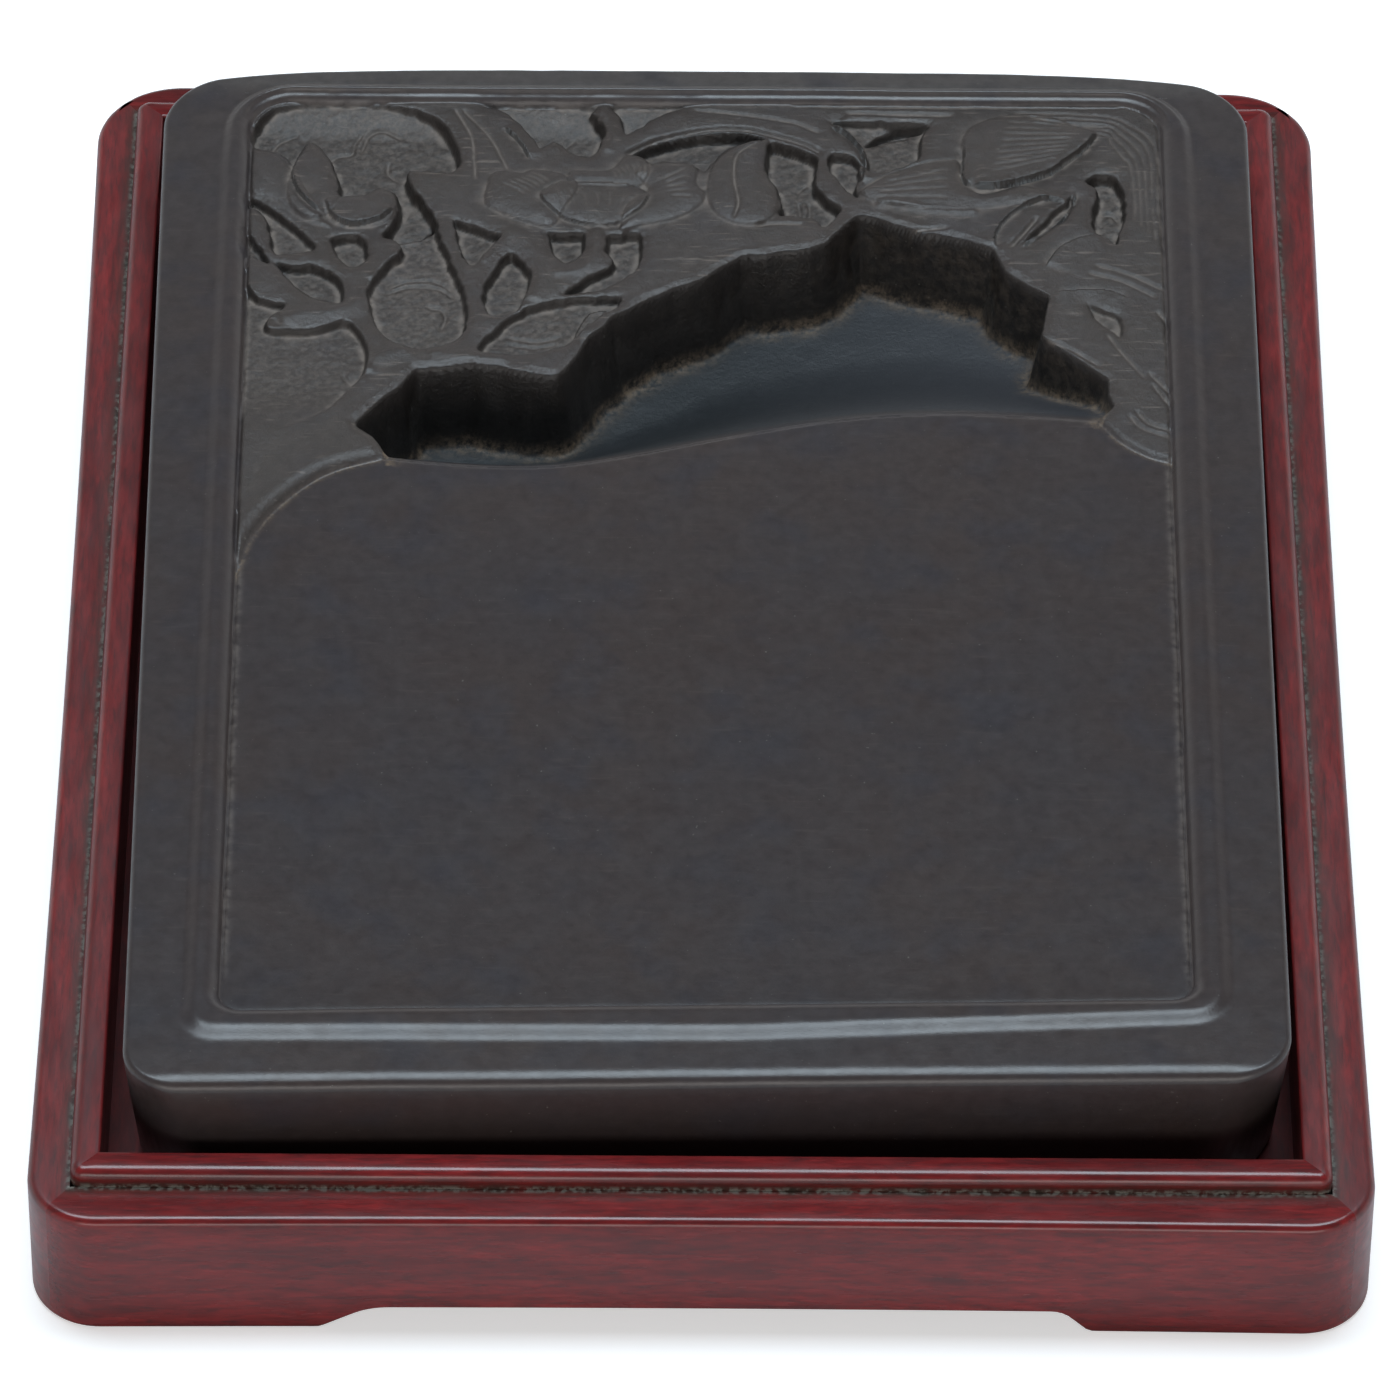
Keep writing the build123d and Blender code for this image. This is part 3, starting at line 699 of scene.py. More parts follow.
    def ink_pool(self):
        """The pool: chiselled walls under a worn rim, and a floor that rolls over the lip."""
        wall = rounded(POOL_WALL, [WALL_CORNER_RADIUS] * len(POOL_WALL), closed=False)
        closed = np.array([*wall, (wall[-1][0], BEFORE_POOL_Y), (wall[0][0], BEFORE_POOL_Y), wall[0]])
        here = self.around(wall, reach=2)
        x, y = self.x[here], self.y[here]
        lip_y = np.interp(x, *curve(LIP).T)
        d = nearest(wall, x, y)[0] * np.where(signed(closed, x, y) < 0, 1, -1)
        d += waves(x, y, RIM_WOBBLE)
        facets = sum(share * np.abs(lumps(x, y, size, seed)) for share, size, seed in FACET_SIZES)
        back = d - WALL_FACETS * facets * np.clip(d / FACET_RISE, 0, 1)
        top = self.z[here]
        steep = top - WALL_STEEPNESS * np.maximum(back, 0)
        floor = pool_floor(x, y, lip_y)
        blended = np.log(np.exp((steep - floor) / WALL_FOOT_SOFTNESS) + 1) * WALL_FOOT_SOFTNESS + floor
        inside = (d > 0) & (y > lip_y - 4 * LIP_SOFTNESS)
        rim = RIM_FALL * (RIM_ALWAYS + waves(x, y, RIM_COMES_AND_GOES)) * np.clip(1 + d / RIM_WIDTH, 0, 1)
        rim *= y > lip_y
        self.z[here] = np.where(inside, np.minimum(top - rim, blended), top - rim)
        self.worn[here] = np.where(inside, 0, rim / RIM_FALL)
        self.pool[here] = np.clip((FIELD_HEIGHT - self.z[here]) / FULL_POOL_DEPTH, 0, 1) * inside
        above = np.maximum(steep - floor, 0) / CRUST_RISE
        beyond = np.maximum(floor - steep, 0) / WALL_STEEPNESS / CRUST_SPREAD
        self.foot[here] = np.where(inside, np.exp(-above**2 - beyond**2), self.foot[here])


def pool_floor(x, y, lip_y):
    """Height of the pool's floor: a cubic that leaves the lip at its own slope and ends level."""
    xs, heights, runs = np.array(POOL_FLOOR, float).T
    drop = FIELD_HEIGHT - np.interp(x, xs, heights)
    run = np.interp(x, xs, runs)
    past = LIP_SOFTNESS * np.logaddexp(0, (y - lip_y) / LIP_SOFTNESS)
    t = np.clip(past / run, 0, 1)
    start = LIP_FALL * run / drop
    floor = FIELD_HEIGHT - drop * (3 * t**2 - 2 * t**3 + start * (t**3 - 2 * t**2 + t))
    return floor + waves(x, y, FLOOR_WAVES) * t


def fan(relief, count, width, depth, first, last, first_end, last_end):
    """Fine cut lines side by side, bowed a little to the right."""
    starts = np.linspace(first, last, count)
    ends = np.linspace(first_end, last_end, count)
    for start, end in zip(starts, ends):
        relief.ridge([start, (start + end) / 2 + (FAN_BOW, 0), end], width, -depth)


def swirl(relief):
    """Lines nested round the right-hand corner, each a millimetre inside the last."""
    for s in range(SWIRL_LINES):
        path = [(44 + s, 95.6 - s), (57, 95.0 - s), (61 - 0.7 * s, 93 - s), (64 - s, 89.5 - s),
                (64.8 - s, 84), (64.5 - 0.8 * s, 76), (65 - s, 66 + 1.5 * s)]
        relief.ridge(path, SWIRL_WIDTH, -SWIRL_DEPTH)


def carve(relief):
    relief.lay_field()
    for height, reach, outline in CROWNS.values():
        relief.crown(outline, CROWN_SCALE * height, reach)
    for height, reach, path in OVERLAPS.values():
        relief.overlap(path, OVERLAP_SCALE * height, reach)
    for width, height, path in RIDGES:
        relief.ridge(path, width, height)
    for depth, outline in HOLLOWS.values():
        relief.hollow(outline, HOLLOW_SCALE * depth)
    relief.lower_left()
    for (width, depth), paths in CUTS.items():
        for path in paths:
            relief.ridge(path, width, -depth)
    for lines in FANS:
        fan(relief, *lines)
    swirl(relief)
    relief.roughen()
    relief.ink_pool()


# ================================================================ the inkstone's mesh
FINE = 0.22                 # grid spacing over the carving
NEAR_SPACING = 0.3          # over the near end's border and crevice
FIELD_SPACING = 1.6
GRID_X = (-66.0, 66.0)
GRID_Y = (-88.4, 98.5)
CARVING_Y = -10.0           # the fine rows start here
FRONT_DETAIL_Y = -81.0      # and there are fine rows before this
BORDER_RINGS = 30
WALL_RINGS = 12
ARC_RINGS = 8
CORNER_STEPS = 12
DUST_BLUR = 4               # cells
FULL_DUST_HOLLOW = 0.35     # this far under its surroundings, ground holds all the dust it can
FULL_WEAR_HEIGHT = 0.2      # this far above them, it is worn smooth
# slopes where painted shade on the carving's walls starts, and where it is full
STEEP_SHADE_SLOPES = (0.5, 1.7)
POOL_WALL_SLOPES = (1.0, 2.5)
EDGE_DUST = (0.4, 0.5)      # along the crevice: how much, and over what width
EDGE_DUST_STARTS = (-84, -76)       # Y


def side_path(corners, radii, side, steps):
    """One side of a rounded outline, from the middle of one corner's arc to the middle of the next."""
    line = rounded(corners, radii, steps=steps)[:-1]
    first = steps // 2 + (steps + 1) * side
    return np.array([line[(first + k) % len(line)] for k in range(steps + 2)])


def lengths(path):
    """Distance along a path to each of its points."""
    return np.concatenate([[0], np.cumsum(np.hypot(*np.diff(path, axis=0).T))])


def points_along(path, places):
    """Points on a path at the given distances along it."""
    at = lengths(path)
    return np.stack([np.interp(places, at, path[:, 0]), np.interp(places, at, path[:, 1])], 1)


def stone_ring(inset, fractions, extra_radius=0.0):
    """The stone's outline moved inwards, with points at the given fractions of each side."""
    corners = inset_corners(STONE_CORNERS, inset)
    radii = [radius + extra_radius - inset for radius in STONE_RADII]
    ring = []
    for side, places in enumerate(fractions):
        path = side_path(corners, radii, side, CORNER_STEPS)
        ring.append(points_along(path, np.array(places) * lengths(path)[-1]))
    ring = np.concatenate(ring)
    across = np.minimum(np.abs(ring[:, 0] / STONE_CORNERS[2][0]), 1)
    ring[:, 1] += BACK_CROWN * (1 - across**CROWN_CURVE) * (ring[:, 1] > 0)
    return ring


def border_rings(inner, fractions):
    """Rings from the grid's edge out over the border and down round the arris."""
    shelf = stone_ring(ARRIS_RADIUS, fractions)
    plans = [inner + (shelf - inner) * k / BORDER_RINGS for k in range(1, BORDER_RINGS + 1)]
    drops = [0.0] * BORDER_RINGS
    for k in range(1, ARC_RINGS + 1):
        angle = math.pi / 2 * k / ARC_RINGS
        plans.append(stone_ring(ARRIS_RADIUS * (1 - math.sin(angle)), fractions))
        drops.append(ARRIS_RADIUS * (1 - math.cos(angle)))
    return [np.column_stack([plan, border_height(*plan.T)[0] - drop]) for plan, drop in zip(plans, drops)]


def wall_rings(top_edge, fractions):
    """Rings down the wall and in under the stone."""
    wall_foot = STONE_BOTTOM + BOTTOM_ROUNDING
    rings = []
    for k in range(1, WALL_RINGS + 1):
        down = k / WALL_RINGS
        z = top_edge[:, 2] + (wall_foot - top_edge[:, 2]) * down
        rings.append(np.column_stack([stone_ring(WALL_TAPER * down, fractions, WALL_EXTRA_RADIUS * down), z]))
    for k in range(1, ARC_RINGS + 1):
        angle = math.pi / 2 * k / ARC_RINGS
        inset = WALL_TAPER + BOTTOM_ROUNDING * (1 - math.cos(angle))
        plan = stone_ring(inset, fractions, WALL_EXTRA_RADIUS)
        z = np.full(len(plan), wall_foot - BOTTOM_ROUNDING * math.sin(angle))
        rings.append(np.column_stack([plan, z]))
    return rings


def skin_attributes(relief):
    """What the stone's material reads: one value from 0 to 1 at each place of the height map."""
    hollowness = blurred(relief.z, DUST_BLUR) - relief.z
    slope_y, slope_x = np.gradient(relief.z, relief.ys, relief.xs)
    steep = np.hypot(slope_x, slope_y)
    dry_panel = relief.panel * (1 - relief.pool)
    (flat, fully_shaded), (walled, wall) = STEEP_SHADE_SLOPES, POOL_WALL_SLOPES
    amount, width = EDGE_DUST
    edge_dust = amount * np.exp(-((relief.field + width) / width)**2)
    edge_dust *= (1 - relief.panel) * blend(relief.y, *EDGE_DUST_STARTS)
    dust = np.clip(hollowness / FULL_DUST_HOLLOW, 0, 1) * relief.panel
    worn = np.maximum(relief.worn, np.clip(-hollowness / FULL_WEAR_HEIGHT, 0, 1)) * relief.panel
    return {
        "dust": np.maximum(dust, edge_dust),
        "ground": relief.ground,
        "foot": relief.foot,
        "pool": relief.pool,
        "panel": relief.panel,
        # painted shade on the carving's steep walls, along with the ink left in them
        "steep_shade": np.clip((steep - flat) / (fully_shaded - flat), 0, 1) * dry_panel,
        "wall": np.clip((steep - walled) / (wall - walled), 0, 1) * (relief.pool > 0),
        "worn": worn,
        "scratch": relief.scratch * dry_panel,
    }


def inkstone():
    xs = np.arange(GRID_X[0], GRID_X[1] + FINE / 2, FINE)
    ys = np.concatenate([np.arange(GRID_Y[0], FRONT_DETAIL_Y, NEAR_SPACING),
                         np.arange(FRONT_DETAIL_Y, CARVING_Y, FIELD_SPACING),
                         np.arange(CARVING_Y, GRID_Y[1] + FINE / 2, FINE)])
    relief = Relief(xs, ys)
    carve(relief)
    total = relief.x.size
    numbers = np.arange(total).reshape(relief.x.shape)
    cells = np.stack([numbers[:-1, :-1], numbers[:-1, 1:], numbers[1:, 1:], numbers[1:, :-1]], 2)
    points = [np.stack([relief.x, relief.y, relief.z], 2).reshape(-1, 3)]
    quads = [cells.reshape(-1, 4)]

    edge = np.concatenate([numbers[0, :-1], numbers[:-1, -1], numbers[-1, :0:-1], numbers[:0:-1, 0]])
    across = (xs - xs[0]) / (xs[-1] - xs[0])
    along = (ys - ys[0]) / (ys[-1] - ys[0])
    fractions = [across[:-1], along[:-1], 1 - across[:0:-1], 1 - along[:0:-1]]
    rings = border_rings(points[0][edge, :2], fractions)
    rings += wall_rings(rings[-1], fractions)
    last = edge
    for ring in rings:
        number = np.arange(total, total + len(ring))
        points.append(ring)
        quads.append(ring_quads(number, last))
        last = number
        total += len(ring)
    made = mesh_object("carved_inkstone", np.concatenate(points) + STONE_PLACE, np.concatenate(quads),
                       [last[::-1]])
    for name, values in skin_attributes(relief).items():
        set_attribute(made, name, np.concatenate([values.ravel(), np.zeros(total - values.size)]))
    return made


# ================================================================ the tray
TRAY_HALF = (88.2, 114.95)  # at the corners
TRAY_HOLLOW = (0.7, 0.6)    # how far the sides and the ends curve in
TRAY_RADII = [9.5, 9.5, 12.5, 12.5]         # front corners, then back
SHOULDER_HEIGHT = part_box("front_rail")[1].z / MM
LIP_OUTER = (82.4, 108.4)
LIP_INNER = (78.5, 104.5)
LIP_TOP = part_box("front_lip")[1].z / MM
BOARD_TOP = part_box("front_lip")[0].z / MM
RAIL_TOP_RADIUS = 1.2
FOOT_RADIUS = 0.8
ARCH_EDGE_RADIUS = 0.35
LIP_RADIUS = 1.5
LIP_INNER_RADIUS = 0.4
LIP_CORNER_RADIUS = 1.8
ARCH_HEIGHT = 3.9
END_ARCH = (-50.0, -43.5, 47.5, 51.0)       # where the two ramps start and end
SIDE_ARCH = (-74.0, -68.0, 68.0, 74.0)
ARCH_RADII = (1.5, 9.0, 3.5, 1.5)
BEYOND_RAIL = 200           # the underside's line starts and ends past any rail
TRAY_CORNER_STEPS = 24
SECTION_SPACING = 0.8       # at most this far from one section of a rail to the next
# Extra points in the sections, so that dirt can fade away from the seam.
SHOULDER_POINTS = (0.25, 0.6, 1.2, 2.0, 2.8)        # distance from the seam
LIP_SIDE_POINTS = (0, 0.3, 0.9)     # above the shoulder
LIP_WALL_POINTS = (2.5, 6, 10)      # below the lip's top
FACE_POINTS = (0.2, 0.4, 0.6, 0.75)         # share of the way down a rail's outer face
SEAM_SPREAD = 1.3           # how far dirt spreads from the joint between rail and lip


def arch_line(arch):
    """Underside of a rail as (along, height): foot, soft ramp, arch, ramp, foot."""
    a, b, c, d = arch
    points = [(-BEYOND_RAIL, 0), (a, 0), (b, ARCH_HEIGHT), (c, ARCH_HEIGHT), (d, 0), (BEYOND_RAIL, 0)]
    return rounded(points, [0, *ARCH_RADII, 0], closed=False, steps=12)


def arc_points(centre, radius, first, last, steps=5):
    """Points on an arc in a section, angles in degrees."""
    angles = np.radians(np.linspace(first, last, steps + 1))
    return [(centre[0] + radius * math.cos(a), centre[1] + radius * math.sin(a)) for a in angles]


def rail_profile(width, bottom):
    """Closed section of a rail as (distance in from its outer face, height)."""
    foot = FOOT_RADIUS + (ARCH_EDGE_RADIUS - FOOT_RADIUS) * bottom / ARCH_HEIGHT
    top = SHOULDER_HEIGHT
    profile = [(width, bottom), (width, (bottom + top) / 2), (width, top)]
    profile += [(width - d, top) for d in SHOULDER_POINTS]
    profile += arc_points((RAIL_TOP_RADIUS, top - RAIL_TOP_RADIUS), RAIL_TOP_RADIUS, 90, 180)
    profile += [(0, top + (bottom - top) * share) for share in FACE_POINTS]
    profile += arc_points((foot, bottom + foot), foot, 180, 270)
    return np.array(profile)


def lip_profile(width, bottom):
    """Closed section of a lip strip; below the shoulder its outer side lies against the rail."""
    outer, inner = LIP_RADIUS, LIP_INNER_RADIUS
    profile = [(0, BOARD_TOP)] + [(0, SHOULDER_HEIGHT + up) for up in LIP_SIDE_POINTS]
    profile += arc_points((outer, LIP_TOP - outer), outer, 180, 90)
    profile += arc_points((width - inner, LIP_TOP - inner), inner, 90, 0, 4)
    profile += [(width, LIP_TOP - depth) for depth in LIP_WALL_POINTS] + [(width, BOARD_TOP)]
    return np.array(profile[::-1])


def rectangle(half):
    """Corners of a rectangle round the middle: front left, front right, back right, back left."""
    return [(-half[0], -half[1]), (half[0], -half[1]), (half[0], half[1]), (-half[0], half[1])]


def frame_side(name, side, outer_half, hollow, radii, inner_half, profile, arch=None):
    """One mitred side of a frame: its outer edge follows rounded corners, its inner edge is straight."""
    path = side_path(rectangle(outer_half), radii, side, TRAY_CORNER_STEPS)
    corners_at = lengths(path)
    places = np.unique(np.concatenate([corners_at, np.arange(0, corners_at[-1], SECTION_SPACING)]))
    along = side % 2
    inner_start = rectangle(inner_half)[side]
    sections, seams = [], []
    for x, y in points_along(path, places):
        p = np.array([x - x / outer_half[0] * hollow[0] * (1 - (y / outer_half[1])**2),
                      y - y / outer_half[1] * hollow[1] * (1 - (x / outer_half[0])**2)])
        q = np.clip(p, -np.array(inner_half), inner_half)
        q[1 - along] = inner_start[1 - along]
        width = np.hypot(*(q - p))
        bottom = 0.0 if arch is None else float(np.interp(p[along], arch[:, 0], arch[:, 1]))
        flat = profile(width, bottom)
        sections.append(np.column_stack([p + (q - p) * (flat[:, :1] / width), flat[:, 1]]))
        seam_at = 0.0 if arch is None else width
        seams.append(np.abs(flat[:, 0] - seam_at) + np.abs(flat[:, 1] - SHOULDER_HEIGHT))
    made = lofted(name, np.array(sections))
    set_attribute(made, "seam", np.exp(-np.array(seams) / SEAM_SPREAD))
    return made


def rail(name, side):
    """side counts from 0: front, right, back, left."""
    arch = arch_line(END_ARCH if side % 2 == 0 else SIDE_ARCH)
    return frame_side(name, side, TRAY_HALF, TRAY_HOLLOW, TRAY_RADII, LIP_OUTER, rail_profile, arch)


def lip(name, side):
    return frame_side(name, side, LIP_OUTER, (0, 0), [LIP_CORNER_RADIUS] * 4, LIP_INNER, lip_profile)


# ================================================================ materials
class Nodes:
    """A short way to write a node tree."""

    def __init__(self, name):
        self.material = bpy.data.materials.new(name)
        self.material.use_nodes = True
        self.tree = self.material.node_tree
        self.shader = self.tree.nodes["Principled BSDF"]

    def add(self, kind, inputs=None, **settings):
        node = self.tree.nodes.new(kind)
        for key, value in settings.items():
            setattr(node, key, value)
        for key, value in (inputs or {}).items():
            self.put(node.inputs[key], value)
        return node

    def put(self, socket, value):
        if isinstance(value, bpy.types.NodeSocket):
            self.tree.links.new(value, socket)
        else:
            socket.default_value = value

    def position(self, stretch=(1, 1, 1), turn=(0, 0, 0)):
        """The place on the object in millimetres, with each axis multiplied by stretch."""
        place = self.add("ShaderNodeTexCoord").outputs["Object"]
        scale = tuple(s / MM for s in stretch)
        return self.add("ShaderNodeMapping", {"Vector": place, "Scale": scale, "Rotation": turn}).outputs[0]

    def noise(self, size, stretch=(1, 1, 1), detail=3.0, rough=0.55, distortion=0.0, turn=(0, 0, 0)):
        """Noise with features about size millimetres across, 0 to 1."""
        vector = self.position(stretch, turn)
        return self.add("ShaderNodeTexNoise", {"Vector": vector, "Scale": 1 / size, "Detail": detail,
                                               "Roughness": rough, "Distortion": distortion}).outputs["Fac"]

    def attribute(self, name):
        return self.add("ShaderNodeAttribute", attribute_name=name).outputs["Fac"]

    def span(self, value, low, high, out_low=0.0, out_high=1.0):
        """value from low to high, turned into out_low to out_high and held there."""
        return self.add("ShaderNodeMapRange", {"Value": value, "From Min": low, "From Max": high,
                                               "To Min": out_low, "To Max": out_high}).outputs[0]

    def math(self, kind, a, b):
        return self.add("ShaderNodeMath", {0: a, 1: b}, operation=kind).outputs[0]

    def times(self, a, b):
        return self.math("MULTIPLY", a, b)

    def most(self, first, *others):
        """The largest of several values."""
        for other in others:
            first = self.math("MAXIMUM", first, other)
        return first

    def mix(self, amount, a, b, way="MIX"):
        """Colour a turned towards colour b."""
        node = self.add("ShaderNodeMix", data_type="RGBA", blend_type=way)
        self.put(node.inputs["Factor"], amount)
        self.put(node.inputs[6], (*a, 1) if isinstance(a, tuple) else a)
        self.put(node.inputs[7], (*b, 1) if isinstance(b, tuple) else b)
        return node.outputs[2]

    def bump(self, height, distance_mm, strength=1.0, under=None):
        inputs = {"Height": height, "Distance": distance_mm * MM, "Strength": strength}
        if under is not None:
            inputs["Normal"] = under
        return self.add("ShaderNodeBump", inputs).outputs[0]


STONE_GREY = (0.0385, 0.0275, 0.0255)
STONE_COOL = (0.0350, 0.0280, 0.0290)
# pale colour for painted light and painted sheen at the far end
STONE_PAINTED_LIGHT = (0.072, 0.062, 0.058)
STONE_STAIN = (0.0285, 0.0265, 0.0330)
PANEL_BROWN = (0.0420, 0.0320, 0.0275)
STONE_DUST = (0.175, 0.140, 0.118)
# dark colour for the ink-black pool walls, and for painted shade on steep carved walls and low walls
GRIME_AND_SHADE = (0.010, 0.008, 0.007)
POOL_BLACK = (0.0135, 0.0155, 0.0175)
POOL_PALE = (0.0330, 0.0330, 0.0370)
POOL_BROWN = (0.040, 0.031, 0.024)
POOL_CRUST = (0.170, 0.120, 0.080)
SPECK = (0.16, 0.15, 0.13)
SCUFF_ANGLES = (35, -28, 78)
SCUFFS_ON_FIELD = 0.12      # share of the scuffs that the plain field has
FAR_END_LIGHT = (-20.0, 110.0, 0.0, 0.3)     # from Y, to Y, how far painted light turns the stone paler there
# painted sheen on the far border's flat: from Y, to Y, how far it turns paler
FAR_BAND_SHEEN = (97.0, 100.0, 0.0, 0.85)
WALL_SHADE = (12.0, 32.0, 0.95, 0.0)        # from Z, to Z, how much painted shade darkens the stone there, as the tray's lip shades the lower walls
STONE_GLOSS = 0.45
STONE_ROUGHNESS = (0.30, 0.37)


def plain_stone(n, panel, axes):
    """The stone's colour: cooler patches, painted light that makes the far end paler, a painted sheen on the
    far band, stains, and a browner panel.
    """
    colour = n.mix(n.span(n.noise(26, detail=2), 0.35, 0.7), STONE_GREY, STONE_COOL)
    # painted light: paler towards the far end
    colour = n.mix(n.span(axes.outputs["Y"], *FAR_END_LIGHT), colour, STONE_PAINTED_LIGHT)
    # painted sheen: reflection on the far border's flat
    colour = n.mix(n.span(axes.outputs["Y"], *FAR_BAND_SHEEN), colour, STONE_PAINTED_LIGHT)
    colour = n.mix(n.span(n.noise(11, detail=5), 0.5, 0.68, 0.0, 0.5), colour, STONE_STAIN)
    browner = n.times(panel, n.span(n.noise(9, detail=3), 0.3, 0.6, 0.5, 1.0))
    colour = n.mix(browner, colour, PANEL_BROWN)
    mottle = n.span(n.noise(1.6, detail=5, rough=0.7), 0.3, 0.75, 0.82, 1.2)
    grey = n.add("ShaderNodeCombineColor", {0: mottle, 1: mottle, 2: mottle}).outputs[0]
    return n.mix(1.0, colour, grey, "MULTIPLY")


def scuffs(n, panel):
    """Faint straight scuffs in a few directions, mostly on the panel."""
    found = 0.0
    for degrees in SCUFF_ANGLES:
        line = n.noise(0.7, (0.1, 1, 1), detail=2, turn=(0, 0, math.radians(degrees)))
        found = n.most(found, n.span(line, 0.66, 0.76, 0.0, 0.5))
    return n.times(found, n.span(panel, 0.0, 1.0, SCUFFS_ON_FIELD, 1.0))


def pool_stone(n, axes):
    """Ink-black stone, paler on the pool's floor at the right, with dark walls."""
    colour = n.mix(n.span(axes.outputs["X"], 0.0, 42.0), POOL_BLACK, POOL_PALE)
    colour = n.mix(n.span(n.noise(1.2, detail=5, rough=0.7), 0.4, 0.62, 0.0, 0.2), colour, POOL_PALE)
    return n.mix(n.attribute("wall"), colour, GRIME_AND_SHADE)


def slate():
    n = Nodes("inkstone_slate_skin")
    panel = n.attribute("panel")
    pool = n.attribute("pool")
    axes = n.add("ShaderNodeSeparateXYZ", {0: n.position()})
    colour = plain_stone(n, panel, axes)
    in_hollows = n.times(n.attribute("dust"), n.span(n.noise(1.6, detail=4), 0.36, 0.6, 0.15, 0.9))
    on_ground = n.times(n.attribute("ground"),
                        n.span(n.noise(0.8, detail=5, rough=0.65), 0.42, 0.68, 0.05, 0.5))
    in_scratches = n.times(n.attribute("scratch"), n.span(n.noise(2.2, detail=4), 0.36, 0.56, 0.1, 0.75))
    colour = n.mix(n.most(in_hollows, on_ground, in_scratches, scuffs(n, panel)), colour, STONE_DUST)
    # painted shade on the carving's steep walls, with some ink residue
    colour = n.mix(n.times(n.attribute("steep_shade"), 0.8), colour, GRIME_AND_SHADE)
    # painted shade: the stone darkens towards its foot, where the tray's lip shades it
    colour = n.mix(n.span(axes.outputs["Z"], *WALL_SHADE), colour, GRIME_AND_SHADE)
    deep = n.span(pool, 0.01, 0.14)
    colour = n.mix(deep, colour, pool_stone(n, axes))
    stained = n.times(n.span(n.noise(1.8, detail=5, rough=0.7), 0.42, 0.64),
                      n.span(axes.outputs["X"], 5.0, 40.0, 0.15, 1.0))
    colour = n.mix(n.times(n.times(deep, stained), n.attribute("wall")), colour, POOL_BROWN)
    crust = n.times(n.attribute("foot"), n.span(n.noise(1.1, detail=6, rough=0.75), 0.40, 0.60))
    crust = n.times(crust, n.span(n.noise(9, detail=2), 0.35, 0.6, 0.35, 0.85))
    colour = n.mix(crust, colour, POOL_CRUST)
    colour = n.mix(n.times(n.span(n.noise(0.55, detail=1), 0.765, 0.8), 0.5), colour, SPECK)
    n.put(n.shader.inputs["Base Color"], colour)

    rough = n.span(n.noise(3.0, detail=4), 0.3, 0.7, *STONE_ROUGHNESS)
    for more in (n.times(panel, n.span(pool, 0.0, 0.3, 0.13, 0.03)),
                 n.times(n.most(in_hollows, on_ground), 0.25),
                 n.span(pool, 0.0, 0.1, 0.0, 0.15)):
        rough = n.math("ADD", rough, more)
    rough = n.math("SUBTRACT", rough, n.times(n.attribute("worn"), 0.14))
    n.put(n.shader.inputs["Roughness"], rough)
    grain = n.bump(n.noise(0.35, detail=3), 0.02, 0.5)
    tooled = n.times(n.noise(0.9, detail=6, rough=0.7), n.span(panel, 0.0, 1.0, 0.15, 1.0))
    n.put(n.shader.inputs["Normal"], n.bump(tooled, 0.2, 0.8, grain))
    n.shader.inputs["Specular IOR Level"].default_value = STONE_GLOSS
    return n.material


WOOD_RED = (0.125, 0.0080, 0.0090)
WOOD_DEEP = (0.066, 0.0060, 0.0070)
WOOD_DARK = (0.034, 0.0095, 0.0105)
WOOD_PALE = (0.220, 0.0160, 0.0165)
SEAM_DIRT = (0.028, 0.024, 0.018)
SEAM_FLECK_AND_GLINT = (0.16, 0.15, 0.13)


COAT_WEIGHT = 0.15
COAT_ROUGHNESS = 0.15


def rosewood(name, along_x, polish, gloss):
    """Lacquered rosewood with its grain along X or along Y, and its lowest and highest roughness."""
    def drawn_out(along, across=1):
        return (along, across, across) if along_x else (across, along, across)

    n = Nodes(name)
    streaks = drawn_out(0.16)
    figure = drawn_out(0.05, 0.6)
    red = n.noise(0.7, streaks, detail=4, rough=0.65, distortion=0.3)
    dark = n.noise(0.8, streaks, detail=3, rough=0.6, distortion=0.5)
    bands = n.noise(2.6, figure, detail=3, distortion=0.6)
    pores = n.noise(0.3, drawn_out(0.08), detail=2)
    blotches = n.noise(4.0, streaks, detail=4, rough=0.6)
    colour = n.mix(n.span(red, 0.35, 0.68), WOOD_RED, WOOD_PALE)
    colour = n.mix(n.span(blotches, 0.35, 0.62, 0.6, 0.0), colour, WOOD_DEEP)
    colour = n.mix(n.span(dark, 0.46, 0.72, 0.0, 0.6), colour, WOOD_DARK)
    colour = n.mix(n.span(bands, 0.5, 0.75, 0.0, 0.45), colour, WOOD_DARK)
    colour = n.mix(n.span(pores, 0.6, 0.72, 0.0, 0.5), colour, WOOD_DARK)
    seam = n.attribute("seam")
    dirt = n.times(n.span(seam, 0.12, 0.75), n.span(n.noise(3.5, detail=4), 0.3, 0.7, 0.45, 1.0))
    colour = n.mix(dirt, colour, SEAM_DIRT)
    # pale flecks along the seam: wax and dust, partly a painted highlight on the lacquer at the joint
    flecks_and_glints = n.times(n.span(seam, 0.55, 0.9), n.span(n.noise(0.8, detail=4), 0.45, 0.58))
    colour = n.mix(n.times(flecks_and_glints, 0.9), colour, SEAM_FLECK_AND_GLINT)
    n.put(n.shader.inputs["Base Color"], colour)
    n.put(n.shader.inputs["Roughness"], n.span(n.noise(2.5, streaks, detail=4), 0.3, 0.7, *polish))
    n.put(n.shader.inputs["Normal"], n.bump(pores, 0.02, 0.35, n.bump(n.noise(5, figure), 0.08, 0.4)))
    n.shader.inputs["Specular IOR Level"].default_value = gloss
    n.shader.inputs["Coat Weight"].default_value = COAT_WEIGHT
    n.shader.inputs["Coat Roughness"].default_value = COAT_ROUGHNESS
    return n.material


